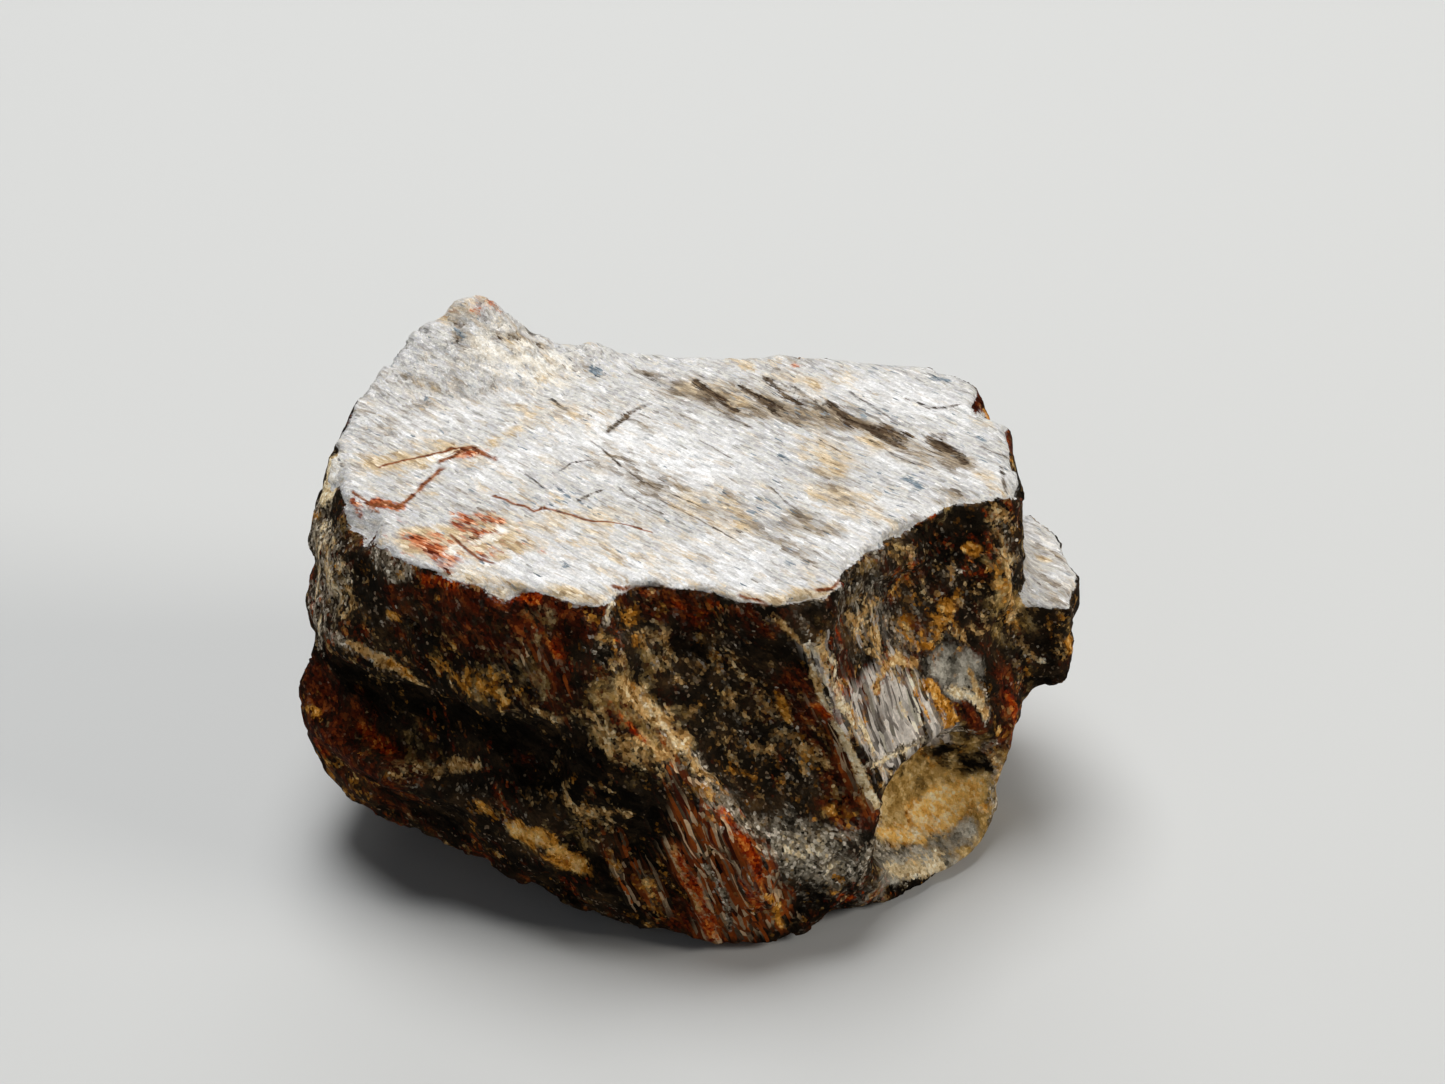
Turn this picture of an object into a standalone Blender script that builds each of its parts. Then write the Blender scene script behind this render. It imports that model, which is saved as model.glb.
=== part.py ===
"""Tantalite crystal: one broken, blocky crystal, about 26 mm across, lying on a flat of its underside.

It is one solid. Its mass is a block with a flat top cleavage face, joined by a foot, a belly, a raised
peak and a side ledge, each the hull of its own corners. Shell-shaped fractures are cut from that, and
then the broken faces get their ripples, steps and splinters, while the top stays flat.
Corners and sizes are in millimetres, with +X to the right, +Y to the back, +Z up and Z = 0 at the rest.
"""

import math

import bmesh
import bpy
import numpy as np
from mathutils import Euler, Vector, noise

MM = 0.001
NAME = "tantalite_crystal"

# Driving heights
TOP = 13.0
PEAK = 15.0
LEDGE_TOP = 9.0

# Mesh fineness
SCULPT_STEP = 0.22
MOST_TRIANGLES = 9200

BLOCK = {
    "top left corner": (-12.6, 3.1, TOP),
    "top left edge": (-12.9, 5.9, TOP),
    "top left back": (-12.3, 8.6, TOP + 0.3),
    "top back left": (-9.0, 11.7, TOP + 0.3),
    "top back rise": (-4.4, 11.5, TOP + 0.3),
    "top back middle": (-1.4, 11.3, TOP + 0.15),
    "top back": (2.3, 11.2, TOP),
    "top back right": (7.5, 10.8, TOP + 0.1),
    "top right back": (8.9, 9.2, TOP),
    "top right": (9.8, 7.2, TOP - 0.3),
    "top right corner": (9.3, 2.6, TOP),
    "top front right": (3.8, -2.7, TOP),
    "top front": (1.2, -3.5, TOP),
    "top notch": (-3.4, -3.5, TOP),
    "top front left": (-9.8, -1.2, TOP),
    "top front corner": (-11.2, 0.7, TOP),
    "left shoulder": (-13.5, 4.0, 11.4),
    "left flank": (-14.0, 2.4, 9.0),
    "left back flank": (-13.0, 8.0, 8.5),
    "back left flank": (-9.5, 12.2, 8.0),
    "back flank": (2.5, 12.4, 7.0),
    "back right flank": (8.2, 10.8, 7.5),
    "right back flank": (10.2, 7.5, 7.5),
    "right wall": (10.2, 3.0, 10.0),
    "right wall low": (10.1, 1.5, 4.6),
    "right lip": (9.0, 0.4, 5.2),
    "front plate low right": (5.1, -3.7, 4.6),
    "front plate right": (2.9, -3.9, 10.4),
    "front left brow": (-8.3, -3.0, 9.4),
    "front brow": (-4.4, -4.6, 9.2),
    "left brow": (-12.8, -0.1, 9.5),
    "right foot": (9.1, 0.2, 0.6),
    "right front foot": (8.0, -1.9, 0.5),
    "front right foot": (6.2, -2.9, 0.3),
    "front foot": (4.5, -4.0, 0.6),
    "left low flank": (-13.5, 2.8, 2.9),
    "left back low flank": (-12.2, 8.2, 2.8),
    "left front low flank": (-10.3, -0.9, 2.1),
    "front left low flank": (-7.9, -2.3, 1.8),
    "front left toe": (-5.3, -3.2, 0.9),
    "left underside": (-7.2, 1.2, 0.0),
    "front left underside": (-3.6, -2.6, 0.0),
    "left back underside": (-8.4, 8.0, 0.9),
    "back underside": (-4.0, 9.6, 0.0),
    "back right underside": (6.0, 9.2, 0.0),
    "right underside": (9.4, 5.5, 0.2),
}

LEFT_BELLY = {
    "brow end": (-13.6, 1.6, 8.2),
    "widest": (-14.5, 1.2, 6.2),
    "front widest": (-12.6, -1.4, 5.6),
    "low left": (-13.7, 1.2, 2.6),
    "low front": (-12.4, -0.2, 2.1),
    "low middle": (-10.4, -1.4, 1.9),
    "low right": (-8.0, -2.6, 1.7),
    "low joint": (-5.3, -3.6, 0.8),
    "front": (-8.2, -3.6, 5.0),
    "front right": (-4.5, -4.8, 6.0),
    "back": (-12.0, 7.0, 3.0),
    "inside low": (-6.5, 1.0, 1.0),
    "inside top": (-8.0, 2.0, 8.5),
}

FRONT_FOOT = {
    "crest top": (-3.0, -4.5, 9.4),
    "crest": (-0.6, -5.3, 6.8),
    "crest low": (1.2, -5.8, 4.4),
    "plate foot": (3.8, -5.0, 4.4),
    "plate foot right": (5.1, -4.1, 3.8),
    "right low": (4.4, -4.0, 0.7),
    "toe right": (1.5, -5.4, 0.3),
    "toe": (-0.8, -5.3, 0.5),
    "toe left": (-3.0, -4.6, 0.6),
    "left low": (-5.5, -3.6, 0.9),
    "left": (-6.5, -4.3, 4.5),
    "left top": (-5.0, -4.7, 8.0),
    "back top": (-2.0, 0.0, 8.5),
    "back low": (0.0, 1.0, 0.0),
}

PEAK_KNOB = {
    "left base": (-12.5, 7.6, 12.9),
    "left side": (-12.3, 8.8, 13.4),
    "back base": (-9.6, 12.0, 12.0),
    "right base": (-3.9, 11.2, 12.9),
    "front base": (-6.4, 7.4, 12.95),
    "right slope": (-6.0, 10.4, 13.5),
    "left shoulder": (-11.6, 10.2, 13.9),
    "left tip shoulder": (-10.6, 11.6, 14.3),
    "tip left": (-9.5, 12.1, PEAK - 0.1),
    "tip right": (-8.1, 12.2, PEAK),
    "right shoulder": (-7.3, 11.8, 14.0),
    "back low": (-8.6, 12.9, 12.4),
}

SIDE_LEDGE = {
    "top front": (11.9, 1.8, LEDGE_TOP - 0.1),
    "top right": (12.1, 4.3, LEDGE_TOP),
    "top back": (11.7, 6.3, LEDGE_TOP),
    "top back left": (10.5, 8.0, LEDGE_TOP),
    "top inside back": (8.0, 9.0, LEDGE_TOP),
    "top inside front": (8.5, 2.2, LEDGE_TOP),
    "front low": (11.6, 2.4, 5.7),
    "side low": (12.2, 3.5, 6.1),
    "front low left": (10.3, 2.2, 4.8),
    "back low": (11.3, 6.4, 5.6),
    "wall front low": (9.8, 2.8, 3.6),
    "wall back low": (9.8, 7.6, 3.2),
}

# Flat-sided fractures, each cut by the hull of its own corners
FRONT_PLATE_CUT = {
    "top left": (-3.35, -2.0, 14.0),
    "top middle": (-2.0, -2.5, 14.0),
    "top right": (1.3, -3.3, 14.0),
    "middle left": (-2.7, -3.2, 9.6),
    "low left": (1.2, -4.1, 5.5),
    "low right": (5.2, -3.6, 4.8),
    "outer top left": (-4.9, -9.0, 14.0),
    "outer middle left": (-4.6, -9.0, 7.5),
    "outer low left": (0.2, -9.0, 2.6),
    "outer low right": (6.0, -9.0, 2.6),
    "outer top right": (6.0, -9.0, 14.0),
}

RIGHT_CHUTE_CUT = {
    "top left": (3.8, -2.7, 14.0),
    "top left crease": (4.2, -0.9, 14.0),
    "top crease": (5.1, 0.9, 14.0),
    "top right crease": (7.0, 2.0, 14.0),
    "top right": (9.6, 2.8, 14.0),
    "middle left": (3.4, -3.5, 10.0),
    "middle crease": (5.6, -0.4, 9.0),
    "low left": (5.2, -3.2, 5.9),
    "low crease": (6.8, -1.5, 5.9),
    "low right": (9.4, 0.6, 5.4),
    "outer top left": (4.5, -8.0, 14.0),
    "outer low left": (5.8, -8.0, 5.2),
    "outer low right": (12.0, -4.0, 5.2),
    "outer top right": (12.0, -4.0, 14.0),
}

LEFT_RECESS_CUT = {
    "inner left": (-14.0, 1.3, 8.1),
    "inner middle": (-10.1, -1.3, 7.9),
    "inner right": (-4.5, -4.4, 8.2),
    "low left": (-14.6, 1.3, 5.9),
    "low front left": (-12.6, -1.5, 5.2),
    "low middle": (-8.2, -3.75, 4.8),
    "low right": (-4.4, -5.0, 6.0),
    "outer left": (-15.5, -2.5, 5.6),
    "outer left top": (-15.5, -2.5, 8.3),
    "outer right": (-5.0, -8.5, 5.6),
    "outer right top": (-5.0, -8.5, 8.5),
}

# Upright flat along the laminae at the back right
BACK_RIGHT_CUT = {
    "top left": (3.6, 12.9, 10.6),
    "top right": (9.3, 8.3, 10.2),
    "middle left": (2.4, 12.6, 6.0),
    "middle right": (8.6, 7.6, 5.2),
    "low left": (2.6, 12.4, -1.0),
    "low right": (9.0, 7.4, -1.0),
    "outer top left": (7.0, 17.0, 11.4),
    "outer top right": (13.0, 12.2, 11.4),
    "outer low left": (7.0, 17.0, -1.0),
    "outer low right": (13.0, 12.2, -1.0),
}

# Shell-shaped fractures and chips: centre, half sizes along their own axes, and turn in degrees
HOLLOWS = {
    "ochre hollow": ((8.0, -2.5, 3.5), (3.5, 3.2, 2.75), (0, 0, 41)),
    "lip chip": ((9.9, -0.3, 5.4), (1.3, 0.8, 1.0), (0, 0, 41)),
    "edge chip left": ((-12.2, 0.9, 12.9), (1.1, 1.3, 0.9), (20, 0, -35)),
    "edge chip 1": ((-9.4, -1.9, 13.3), (0.9, 0.8, 0.8), (0, 10, -15)),
    "edge chip 2": ((-6.9, -2.9, 13.1), (1.1, 0.7, 0.7), (0, 0, -12)),
    "edge chip 3": ((-4.6, -3.7, 13.2), (0.8, 0.6, 0.8), (0, 0, 0)),
    "edge chip 4": ((-0.4, -3.7, 13.3), (1.1, 0.8, 1.2), (0, 0, -5)),
    "edge chip 5": ((2.7, -3.4, 13.2), (0.9, 0.6, 0.8), (0, 0, 15)),
    "back edge chip 1": ((-2.6, 12.0, 13.4), (1.1, 0.8, 0.8), (0, 0, 10)),
    "back edge chip 2": ((4.9, 11.7, 13.4), (1.4, 0.9, 0.9), (0, 0, -8)),
    "corner facet": ((10.3, 9.0, 13.1), (1.3, 2.2, 1.3), (0, 25, -40)),
    "strip chip 1": ((-2.0, -4.9, 9.0), (0.9, 0.7, 0.8), (0, 40, 0)),
    "strip chip 2": ((-0.4, -5.2, 6.9), (0.8, 0.6, 0.6), (0, 40, 0)),
    "left flank pit": ((-14.2, 6.2, 5.4), (1.1, 2.4, 2.0), (0, 0, 6)),
    "right wall scoop": ((11.3, 6.8, 2.6), (1.9, 2.6, 2.2), (0, 0, 15)),
    "back scoop": ((-3.0, 18.4, 6.2), (8.5, 7.4, 6.4), (0, 12, 6)),
    "back pit": ((-8.6, 13.3, 8.2), (2.6, 1.6, 3.0), (0, 25, 20)),
    "back toe scoop": ((-9.6, 12.4, 1.2), (4.6, 3.2, 3.0), (0, 0, 24)),
}

# Ridges and grooves, which taper to both ends: points along each one, half width in the middle, and
# height, which is negative in a groove
LINES = {
    "crust ledge left": (
        ((-13.7, 2.2, 8.6), (-12.4, -0.3, 8.9), (-11.0, -1.0, 8.4), (-9.6, -1.6, 8.2)),
        0.6,
        0.25,
    ),
    "crust ledge right": (
        ((-9.6, -1.6, 8.2), (-7.8, -3.0, 8.7), (-6.0, -3.9, 8.9), (-4.2, -4.6, 8.9)),
        0.6,
        0.2,
    ),
    "strip crest": (
        ((-3.3, -3.9, 11.0), (-2.5, -4.1, 9.7), (-1.3, -4.3, 8.2), (0.1, -4.7, 6.3)),
        0.5,
        0.2,
    ),
    "splinter 1": (((-0.6, -4.9, 6.9), (0.5, -5.2, 5.6), (1.2, -5.7, 3.7)), 0.45, 0.22),
    "splinter 2": (((-1.7, -5.3, 4.9), (-1.2, -5.4, 3.1), (-0.1, -5.3, 0.7)), 0.45, 0.28),
    "splinter 3": (((-1.0, -5.4, 5.2), (0.0, -5.5, 3.0), (0.4, -5.4, 1.2)), 0.4, 0.2),
    "splinter 4": (((0.6, -5.6, 4.0), (1.3, -5.6, 3.0), (2.0, -5.3, 1.4)), 0.45, 0.22),
    "splinter gap": (((-2.6, -4.9, 6.4), (-2.3, -5.0, 4.2), (-1.6, -5.1, 1.6)), 0.5, -0.25),
    "plate edge rib": (
        ((1.7, -3.5, 12.3), (2.8, -3.8, 10.3), (4.0, -3.8, 7.5), (5.0, -3.6, 5.2)),
        0.4,
        0.12,
    ),
    "chute rib": (((8.6, 1.9, 9.6), (8.6, 0.9, 7.4), (9.4, 1.0, 5.8)), 0.6, 0.25),
    "belly ridge": (
        ((-13.6, 0.2, 5.2), (-11.4, -1.8, 5.0), (-8.6, -3.3, 4.6), (-6.2, -4.3, 3.6)),
        0.9,
        0.16,
    ),
    "belly groove": (((-12.6, -0.6, 4.0), (-10.2, -1.9, 3.6), (-7.6, -3.3, 2.8)), 0.6, -0.16),
    "top groove 1": (((-3.4, 10.5, 13.2), (-1.3, 8.5, 13.2)), 0.4, -0.22),
    "top groove 2": (((-0.9, 9.6, 13.2), (0.2, 8.1, 13.2), (0.9, 7.3, 13.1)), 0.4, -0.24),
    "top groove 3": (((0.2, 9.4, 13.2), (2.0, 7.4, 13.1), (3.0, 6.5, 13.1)), 0.4, -0.26),
    "top groove 4": (((1.5, 9.8, 13.2), (2.8, 7.9, 13.1)), 0.35, -0.2),
    "top groove 5": (((3.7, 8.3, 13.1), (4.5, 6.9, 13.1), (6.2, 5.3, 13.1)), 0.45, -0.3),
    "top groove 6": (((6.4, 6.4, 13.1), (8.0, 4.6, 13.0)), 0.45, -0.26),
    "top groove 7": (((7.4, 8.6, 13.1), (9.6, 5.4, 12.8)), 0.4, -0.2),
    "top mark": (((-3.7, 6.5, 13.2), (-3.1, 7.4, 13.2), (-2.5, 8.0, 13.2)), 0.35, -0.14),
    "back ledge": (((-11.4, 10.6, 10.6), (-6.0, 11.8, 10.8), (2.6, 12.0, 10.2)), 0.8, 0.25),
    "back groove 1": (((-6.4, 12.0, 12.2), (-3.8, 12.0, 8.0), (-3.0, 11.0, 4.0)), 0.5, -0.25),
    "back groove 2": (((0.6, 12.0, 12.0), (1.8, 12.2, 8.2), (2.2, 11.0, 3.6)), 0.5, -0.22),
    "left rib": (((-13.1, 6.8, 11.6), (-14.0, 5.6, 8.6), (-13.2, 7.4, 4.2)), 0.6, 0.25),
}

# The laminae of the crystal stand upright, and this is the level direction across them
LAMINA_NORMAL = Vector((0.68, 0.73, 0.0)).normalized()

# Where the breaks are smooth, with little relief: centre, reach and the share of relief that is left
SMOOTH_SPOTS = {
    "ochre hollow": ((7.4, -1.3, 3.0), 3.4, 0.35),
    "chute": ((6.6, -0.6, 8.0), 3.4, 0.45),
    "front plate": ((2.4, -3.9, 8.6), 4.2, 0.55),
}

# Relief of the broken faces: size across and height of the swells, chips and lamina steps
SWELL_SIZE = 5.0
SWELL_HEIGHT = 0.2
CHIP_SIZE = 2.3
CHIP_HEIGHT = 0.36
SMALL_CHIP_SIZE = 1.0
SMALL_CHIP_HEIGHT = 0.13
CHIP_SEED = 3.7
TILT_OFFSETS = (Vector((17.3, 0.0, 0.0)), Vector((0.0, 31.7, 0.0)), Vector((0.0, 0.0, 53.9)))
LAMINA_WIDTH = 1.1
LAMINA_HEIGHT = 0.08
TOP_SWELL_HEIGHT = 0.08

# Where the flat face that it rests on is cut, above the lowest corners, and the size of its cutter
REST_CUT = 0.15
REST_CUTTER = (40.0, 40.0, 10.0)

# Colour of the crystal's dark broken faces, and how it shines
DARK_BROWN = (0.045, 0.028, 0.020, 1.0)
ROUGHNESS = 0.5
METALLIC = 0.1


def clear_scene():
    """Remove whatever the file holds at the start."""
    for old in list(bpy.data.objects):
        bpy.data.objects.remove(old, do_unlink=True)


def collection(name):
    """A new collection in the scene."""
    made = bpy.data.collections.new(name)
    bpy.context.scene.collection.children.link(made)
    return made


def add_object(name, bm, home):
    """Turn a bmesh into an object in the given collection."""
    mesh = bpy.data.meshes.new(name)
    bm.to_mesh(mesh)
    bm.free()
    obj = bpy.data.objects.new(name, mesh)
    home.objects.link(obj)
    return obj


def hull_of(corners, name, home):
    """A convex lump with the given corners."""
    bm = bmesh.new()
    for corner in corners.values():
        bm.verts.new(Vector(corner) * MM)
    made = bmesh.ops.convex_hull(bm, input=bm.verts)
    inner = [v for v in made["geom_interior"] if isinstance(v, bmesh.types.BMVert)]
    bmesh.ops.delete(bm, geom=inner, context="VERTS")
    bmesh.ops.recalc_face_normals(bm, faces=bm.faces)
    return add_object(name, bm, home)


def egg_of(centre, half_sizes, turn, name, home):
    """An egg-shaped cutter."""
    bm = bmesh.new()
    bmesh.ops.create_icosphere(bm, subdivisions=4, radius=1.0)
    bmesh.ops.scale(bm, vec=Vector(half_sizes) * MM, verts=bm.verts)
    obj = add_object(name, bm, home)
    obj.location = Vector(centre) * MM
    obj.rotation_euler = Euler([math.radians(angle) for angle in turn])
    return obj


def floor_cutter(home):
    """A broad block whose top is the plane that the crystal rests on."""
    bm = bmesh.new()
    bmesh.ops.create_cube(bm, size=1.0)
    bmesh.ops.scale(bm, vec=Vector(REST_CUTTER) * MM, verts=bm.verts)
    cutter = add_object("rest_cut", bm, home)
    cutter.location.z = (REST_CUT - REST_CUTTER[2] / 2.0) * MM
    return cutter


def boolean(obj, other, operation):
    """Join another lump to the object, or cut it away, and keep that lump as a guide only."""
    modifier = obj.modifiers.new(f"{operation.title()} {other.name}", "BOOLEAN")
    modifier.operation = operation
    modifier.object = other
    other.hide_render = True
    other.display_type = "WIRE"


def apply_modifiers(obj):
    """Replace the object's mesh by the mesh that its modifiers make."""
    bpy.context.view_layer.update()
    graph = bpy.context.evaluated_depsgraph_get()
    made = bpy.data.meshes.new_from_object(obj.evaluated_get(graph))
    obj.modifiers.clear()
    obj.data = made
    obj.data.name = obj.name


def remesh(obj):
    """Give the object an even mesh, closed and free of folds."""
    modifier = obj.modifiers.new("Even mesh", "REMESH")
    modifier.mode = "VOXEL"
    modifier.voxel_size = SCULPT_STEP * MM
    apply_modifiers(obj)


def rough_block(home, guides):
    """The block with its lumps joined and its fractures cut."""
    block = hull_of(BLOCK, NAME, home)
    lumps = {
        "left_belly": LEFT_BELLY,
        "front_foot": FRONT_FOOT,
        "peak_knob": PEAK_KNOB,
        "side_ledge": SIDE_LEDGE,
    }
    cuts = {
        "front_plate_cut": FRONT_PLATE_CUT,
        "right_chute_cut": RIGHT_CHUTE_CUT,
        "left_recess_cut": LEFT_RECESS_CUT,
        "back_right_cut": BACK_RIGHT_CUT,
    }
    for name, corners in lumps.items():
        boolean(block, hull_of(corners, name, guides), "UNION")
    for name, corners in cuts.items():
        boolean(block, hull_of(corners, name, guides), "DIFFERENCE")
    for name, (centre, half_sizes, turn) in HOLLOWS.items():
        cutter = egg_of(centre, half_sizes, turn, name.replace(" ", "_"), guides)
        boolean(block, cutter, "DIFFERENCE")
    remesh(block)
    return block


def smooth_step(value):
    """0 up to 0, 1 from 1, and an even bend between."""
    value = np.clip(value, 0.0, 1.0)
    return value * value * (3.0 - 2.0 * value)


def line_relief(points, line, half_width, height):
    """Height at each point of one ridge, or depth of one groove, that tapers to both ends of its line."""
    corners = np.array(line)
    lengths = np.linalg.norm(corners[1:] - corners[:-1], axis=1)
    nearest = np.full(len(points), np.inf)
    place = np.zeros(len(points))
    for index, (start, end) in enumerate(zip(corners[:-1], corners[1:])):
        along = end - start
        share = np.clip((points - start) @ along / (along @ along), 0.0, 1.0)
        distance = np.linalg.norm(points - start - share[:, None] * along, axis=1)
        closer = distance < nearest
        nearest[closer] = distance[closer]
        place[closer] = (lengths[:index].sum() + share[closer] * lengths[index]) / lengths.sum()
    taper = np.sqrt(np.sin(math.pi * np.clip(place, 0.02, 0.98)))
    return height * taper * smooth_step(1.0 - nearest / (half_width * (0.4 + 0.6 * taper)))


def roughness_share(points):
    """How much of the broken relief each point has, from the smooth spots."""
    share = np.ones(len(points))
    for centre, reach, left in SMOOTH_SPOTS.values():
        near = smooth_step(1.5 - 1.5 * np.linalg.norm(points - np.array(centre), axis=1) / reach)
        share *= 1.0 - (1.0 - left) * near
    return share


def chip_relief(point, size):
    """Level of a broken face at a point: chips of about one size, each with its own height and tilt."""
    place = point / size
    centre = noise.voronoi(place)[1][0]
    seed = centre * CHIP_SEED
    level = noise.noise(seed)
    tilt = Vector([noise.noise(seed + offset) for offset in TILT_OFFSETS])
    return level + (place - centre).dot(tilt)


def lamina_relief(point):
    """Steps between the laminae, which run straight down the sides and wander a little."""
    across = point.dot(LAMINA_NORMAL) / LAMINA_WIDTH
    across += 0.5 * noise.noise(point / SWELL_SIZE)
    return noise.noise(Vector((across, 0.0, 0.04 * point.z))) * 2.0


def broken_relief(point):
    """Height of a broken face over its plain form."""
    return (
        SWELL_HEIGHT * noise.noise(point / SWELL_SIZE)
        + CHIP_HEIGHT * chip_relief(point, CHIP_SIZE)
        + SMALL_CHIP_HEIGHT * chip_relief(point, SMALL_CHIP_SIZE)
        + LAMINA_HEIGHT * lamina_relief(point)
    )


def sculpt(block):
    """Raise and sink the surface: the top keeps its flat face, and the sides get their broken relief."""
    mesh = block.data
    points = np.empty(len(mesh.vertices) * 3)
    normals = np.empty(len(mesh.vertices) * 3)
    mesh.vertices.foreach_get("co", points)
    mesh.vertices.foreach_get("normal", normals)
    points = points.reshape(-1, 3) / MM
    normals = normals.reshape(-1, 3)
    level = smooth_step((normals[:, 2] - 0.75) / 0.2)
    high = smooth_step((points[:, 2] - LEDGE_TOP + 1.0) / 0.5)
    flat_top = level * high
    broken = np.array([broken_relief(Vector(point)) for point in points])
    gentle = np.array([TOP_SWELL_HEIGHT * noise.noise(Vector(point) / SWELL_SIZE) for point in points])
    above_rest = smooth_step((points[:, 2] - 0.2) / 0.6)
    relief = (broken * roughness_share(points) * (1.0 - flat_top) + gentle * flat_top) * above_rest
    for line, half_width, height in LINES.values():
        relief += line_relief(points, line, half_width, height)
    points += normals * relief[:, None]
    mesh.vertices.foreach_set("co", (points * MM).ravel())
    mesh.update()


def thin_out(block):
    """Take away the points that the form can do without."""
    block.data.calc_loop_triangles()
    modifier = block.modifiers.new("Fewer triangles", "DECIMATE")
    modifier.ratio = MOST_TRIANGLES / len(block.data.loop_triangles)
    modifier.use_collapse_triangulate = True
    apply_modifiers(block)


def stand_on_origin(crystal, guides):
    """Move the crystal, and its guides with it, so that it rests with its middle over the origin."""
    corners = np.array([vertex.co for vertex in crystal.data.vertices])
    middle = (corners.min(axis=0) + corners.max(axis=0)) / 2.0
    shift = Vector((-middle[0], -middle[1], -corners[:, 2].min()))
    for obj in [crystal, *guides.objects]:
        obj.location += shift


def tantalite_material():
    """Tantalite: a heavy, nearly black brown oxide with a dull metallic shine on its breaks."""
    material = bpy.data.materials.new("Tantalite, broken")
    material.use_nodes = True
    shader = material.node_tree.nodes["Principled BSDF"]
    shader.inputs["Base Color"].default_value = DARK_BROWN
    shader.inputs["Roughness"].default_value = ROUGHNESS
    shader.inputs["Metallic"].default_value = METALLIC
    return material


def main():
    clear_scene()
    home = collection("Tantalite crystal")
    guides = collection("Guides")
    crystal = rough_block(home, guides)
    sculpt(crystal)
    remesh(crystal)
    thin_out(crystal)
    boolean(crystal, floor_cutter(guides), "DIFFERENCE")
    apply_modifiers(crystal)
    stand_on_origin(crystal, guides)
    crystal.data.materials.append(tantalite_material())
    crystal.data.shade_flat()


main()
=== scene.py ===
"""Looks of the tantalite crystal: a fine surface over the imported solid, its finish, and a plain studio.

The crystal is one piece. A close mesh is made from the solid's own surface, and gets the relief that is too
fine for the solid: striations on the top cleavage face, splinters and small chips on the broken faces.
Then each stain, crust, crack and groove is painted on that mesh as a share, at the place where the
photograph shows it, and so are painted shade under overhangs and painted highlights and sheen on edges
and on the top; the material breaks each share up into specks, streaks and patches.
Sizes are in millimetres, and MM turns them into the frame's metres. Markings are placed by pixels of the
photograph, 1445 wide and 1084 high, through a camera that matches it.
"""

import math

import bmesh
import bpy
import numpy as np
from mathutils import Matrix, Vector, noise
from mathutils.bvhtree import BVHTree


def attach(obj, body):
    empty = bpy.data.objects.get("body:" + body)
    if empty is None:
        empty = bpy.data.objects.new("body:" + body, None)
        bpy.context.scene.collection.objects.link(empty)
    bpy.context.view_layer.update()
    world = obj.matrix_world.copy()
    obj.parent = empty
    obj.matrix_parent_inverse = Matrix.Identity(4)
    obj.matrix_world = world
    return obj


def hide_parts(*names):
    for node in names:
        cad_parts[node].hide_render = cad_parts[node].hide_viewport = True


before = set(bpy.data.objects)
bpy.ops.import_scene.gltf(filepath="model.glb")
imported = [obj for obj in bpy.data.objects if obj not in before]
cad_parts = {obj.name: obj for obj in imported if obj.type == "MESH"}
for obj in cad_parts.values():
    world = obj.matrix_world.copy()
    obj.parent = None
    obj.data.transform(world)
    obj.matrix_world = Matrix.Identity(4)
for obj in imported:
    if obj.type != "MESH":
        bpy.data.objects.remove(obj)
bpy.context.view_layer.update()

MM = 0.001
NODE = "tantalite_crystal"

# The camera of the photograph: what it aims at and from how far, its height over the horizon, its lens, and
# how near and how far it sees
PHOTO_SIZE = (1445, 1084)
AIM = Vector((1.08, -3.41, 12.85))
DISTANCE = 90.0
ELEVATION = 35.0
LENS = 70.0
SENSOR = 36.0
CLIP_METRES = (0.001, 100.0)

# The fine mesh. Points of the solid that lie nearer than WELD become one, and a little smoothing keeps its
# small triangles from showing. Slopes and the silver are evened out over more rounds, to find broad edges.
MESH_STEP = 0.142
WELD = 0.001
SMOOTH_ROUNDS = 2
BROAD_ROUNDS = 8

# Directions of the grain: striations of the top, fibres of the front, of its left, of the splintered bundle
# at its foot, and of the chute on the right
TOP_GRAIN = Vector((0.76, -0.65, 0.0))
FRONT_GRAIN = Vector((0.52, -0.12, -0.84))
LEFT_GRAIN = Vector((0.82, -0.42, -0.38))
BUNDLE_GRAIN = Vector((0.36, -0.12, -0.92))
CHUTE_GRAIN = Vector((0.28, -0.1, -0.95))

# Under this sideways length a direction counts as upright
UPRIGHT = 0.3

# The cleaved, silvery face, as pairs of where it begins and where it is full: the height of the level top,
# that of the raised peak and how level its slopes have to be, and the height of the side ledge and how far
# to the right it lies. LEVEL is how level the face is, and its edge is frayed.
TOP_RISE = (12.05, 12.4)
PEAK_RISE = (12.95, 13.25)
PEAK_LEVEL = (0.15, 0.4)
LEDGE_RISE = (8.0, 8.6)
LEDGE_RIGHT = (10.9, 11.3)
LEVEL = (0.52, 0.7)
FRAY = 0.1
FRAY_SIZE = 0.45

# Fine relief in millimetres: size across and height of each kind, and for what follows a grain its direction,
# length, width and height
CHIP_SIZE = 1.3
CHIP_HEIGHT = 0.13
FACET_SIZE = 0.6
FACET_HEIGHT = 0.085
GRAIN_SIZE = 0.3
GRAIN_HEIGHT = 0.03
STRIATIONS = (TOP_GRAIN, 5.0, 0.45, 0.03)
SPLINTERS = (BUNDLE_GRAIN, 5.0, 0.4, 0.2)
RIDGES = (CHUTE_GRAIN, 4.0, 0.3, 0.1)
PEAK_CHIP_HEIGHT = 0.16
RIM_CHIP_SIZE = 0.75
RIM_CHIP_DEPTH = 0.4
GROOVE_DEPTH = 0.05
CRUST_HEIGHT = 0.06

# How much of the chips' height the fibres take away
FIBRE_CALM = 0.6

# Small rises and dents at the back of the top: place, radius and height
SWELLS = {
    "tip": ((-7.6, 8.5), 1.5, 0.38),
    "flank": ((-5.3, 8.4), 1.7, -0.32),
    "back edge": ((-3.6, 7.8), 1.5, 0.42),
}

# How far painted edges wander, over what size, and from what half width on they wander that far
WANDER = 0.3
WANDER_SIZE = 0.9
WANDER_FROM = 0.4

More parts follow.
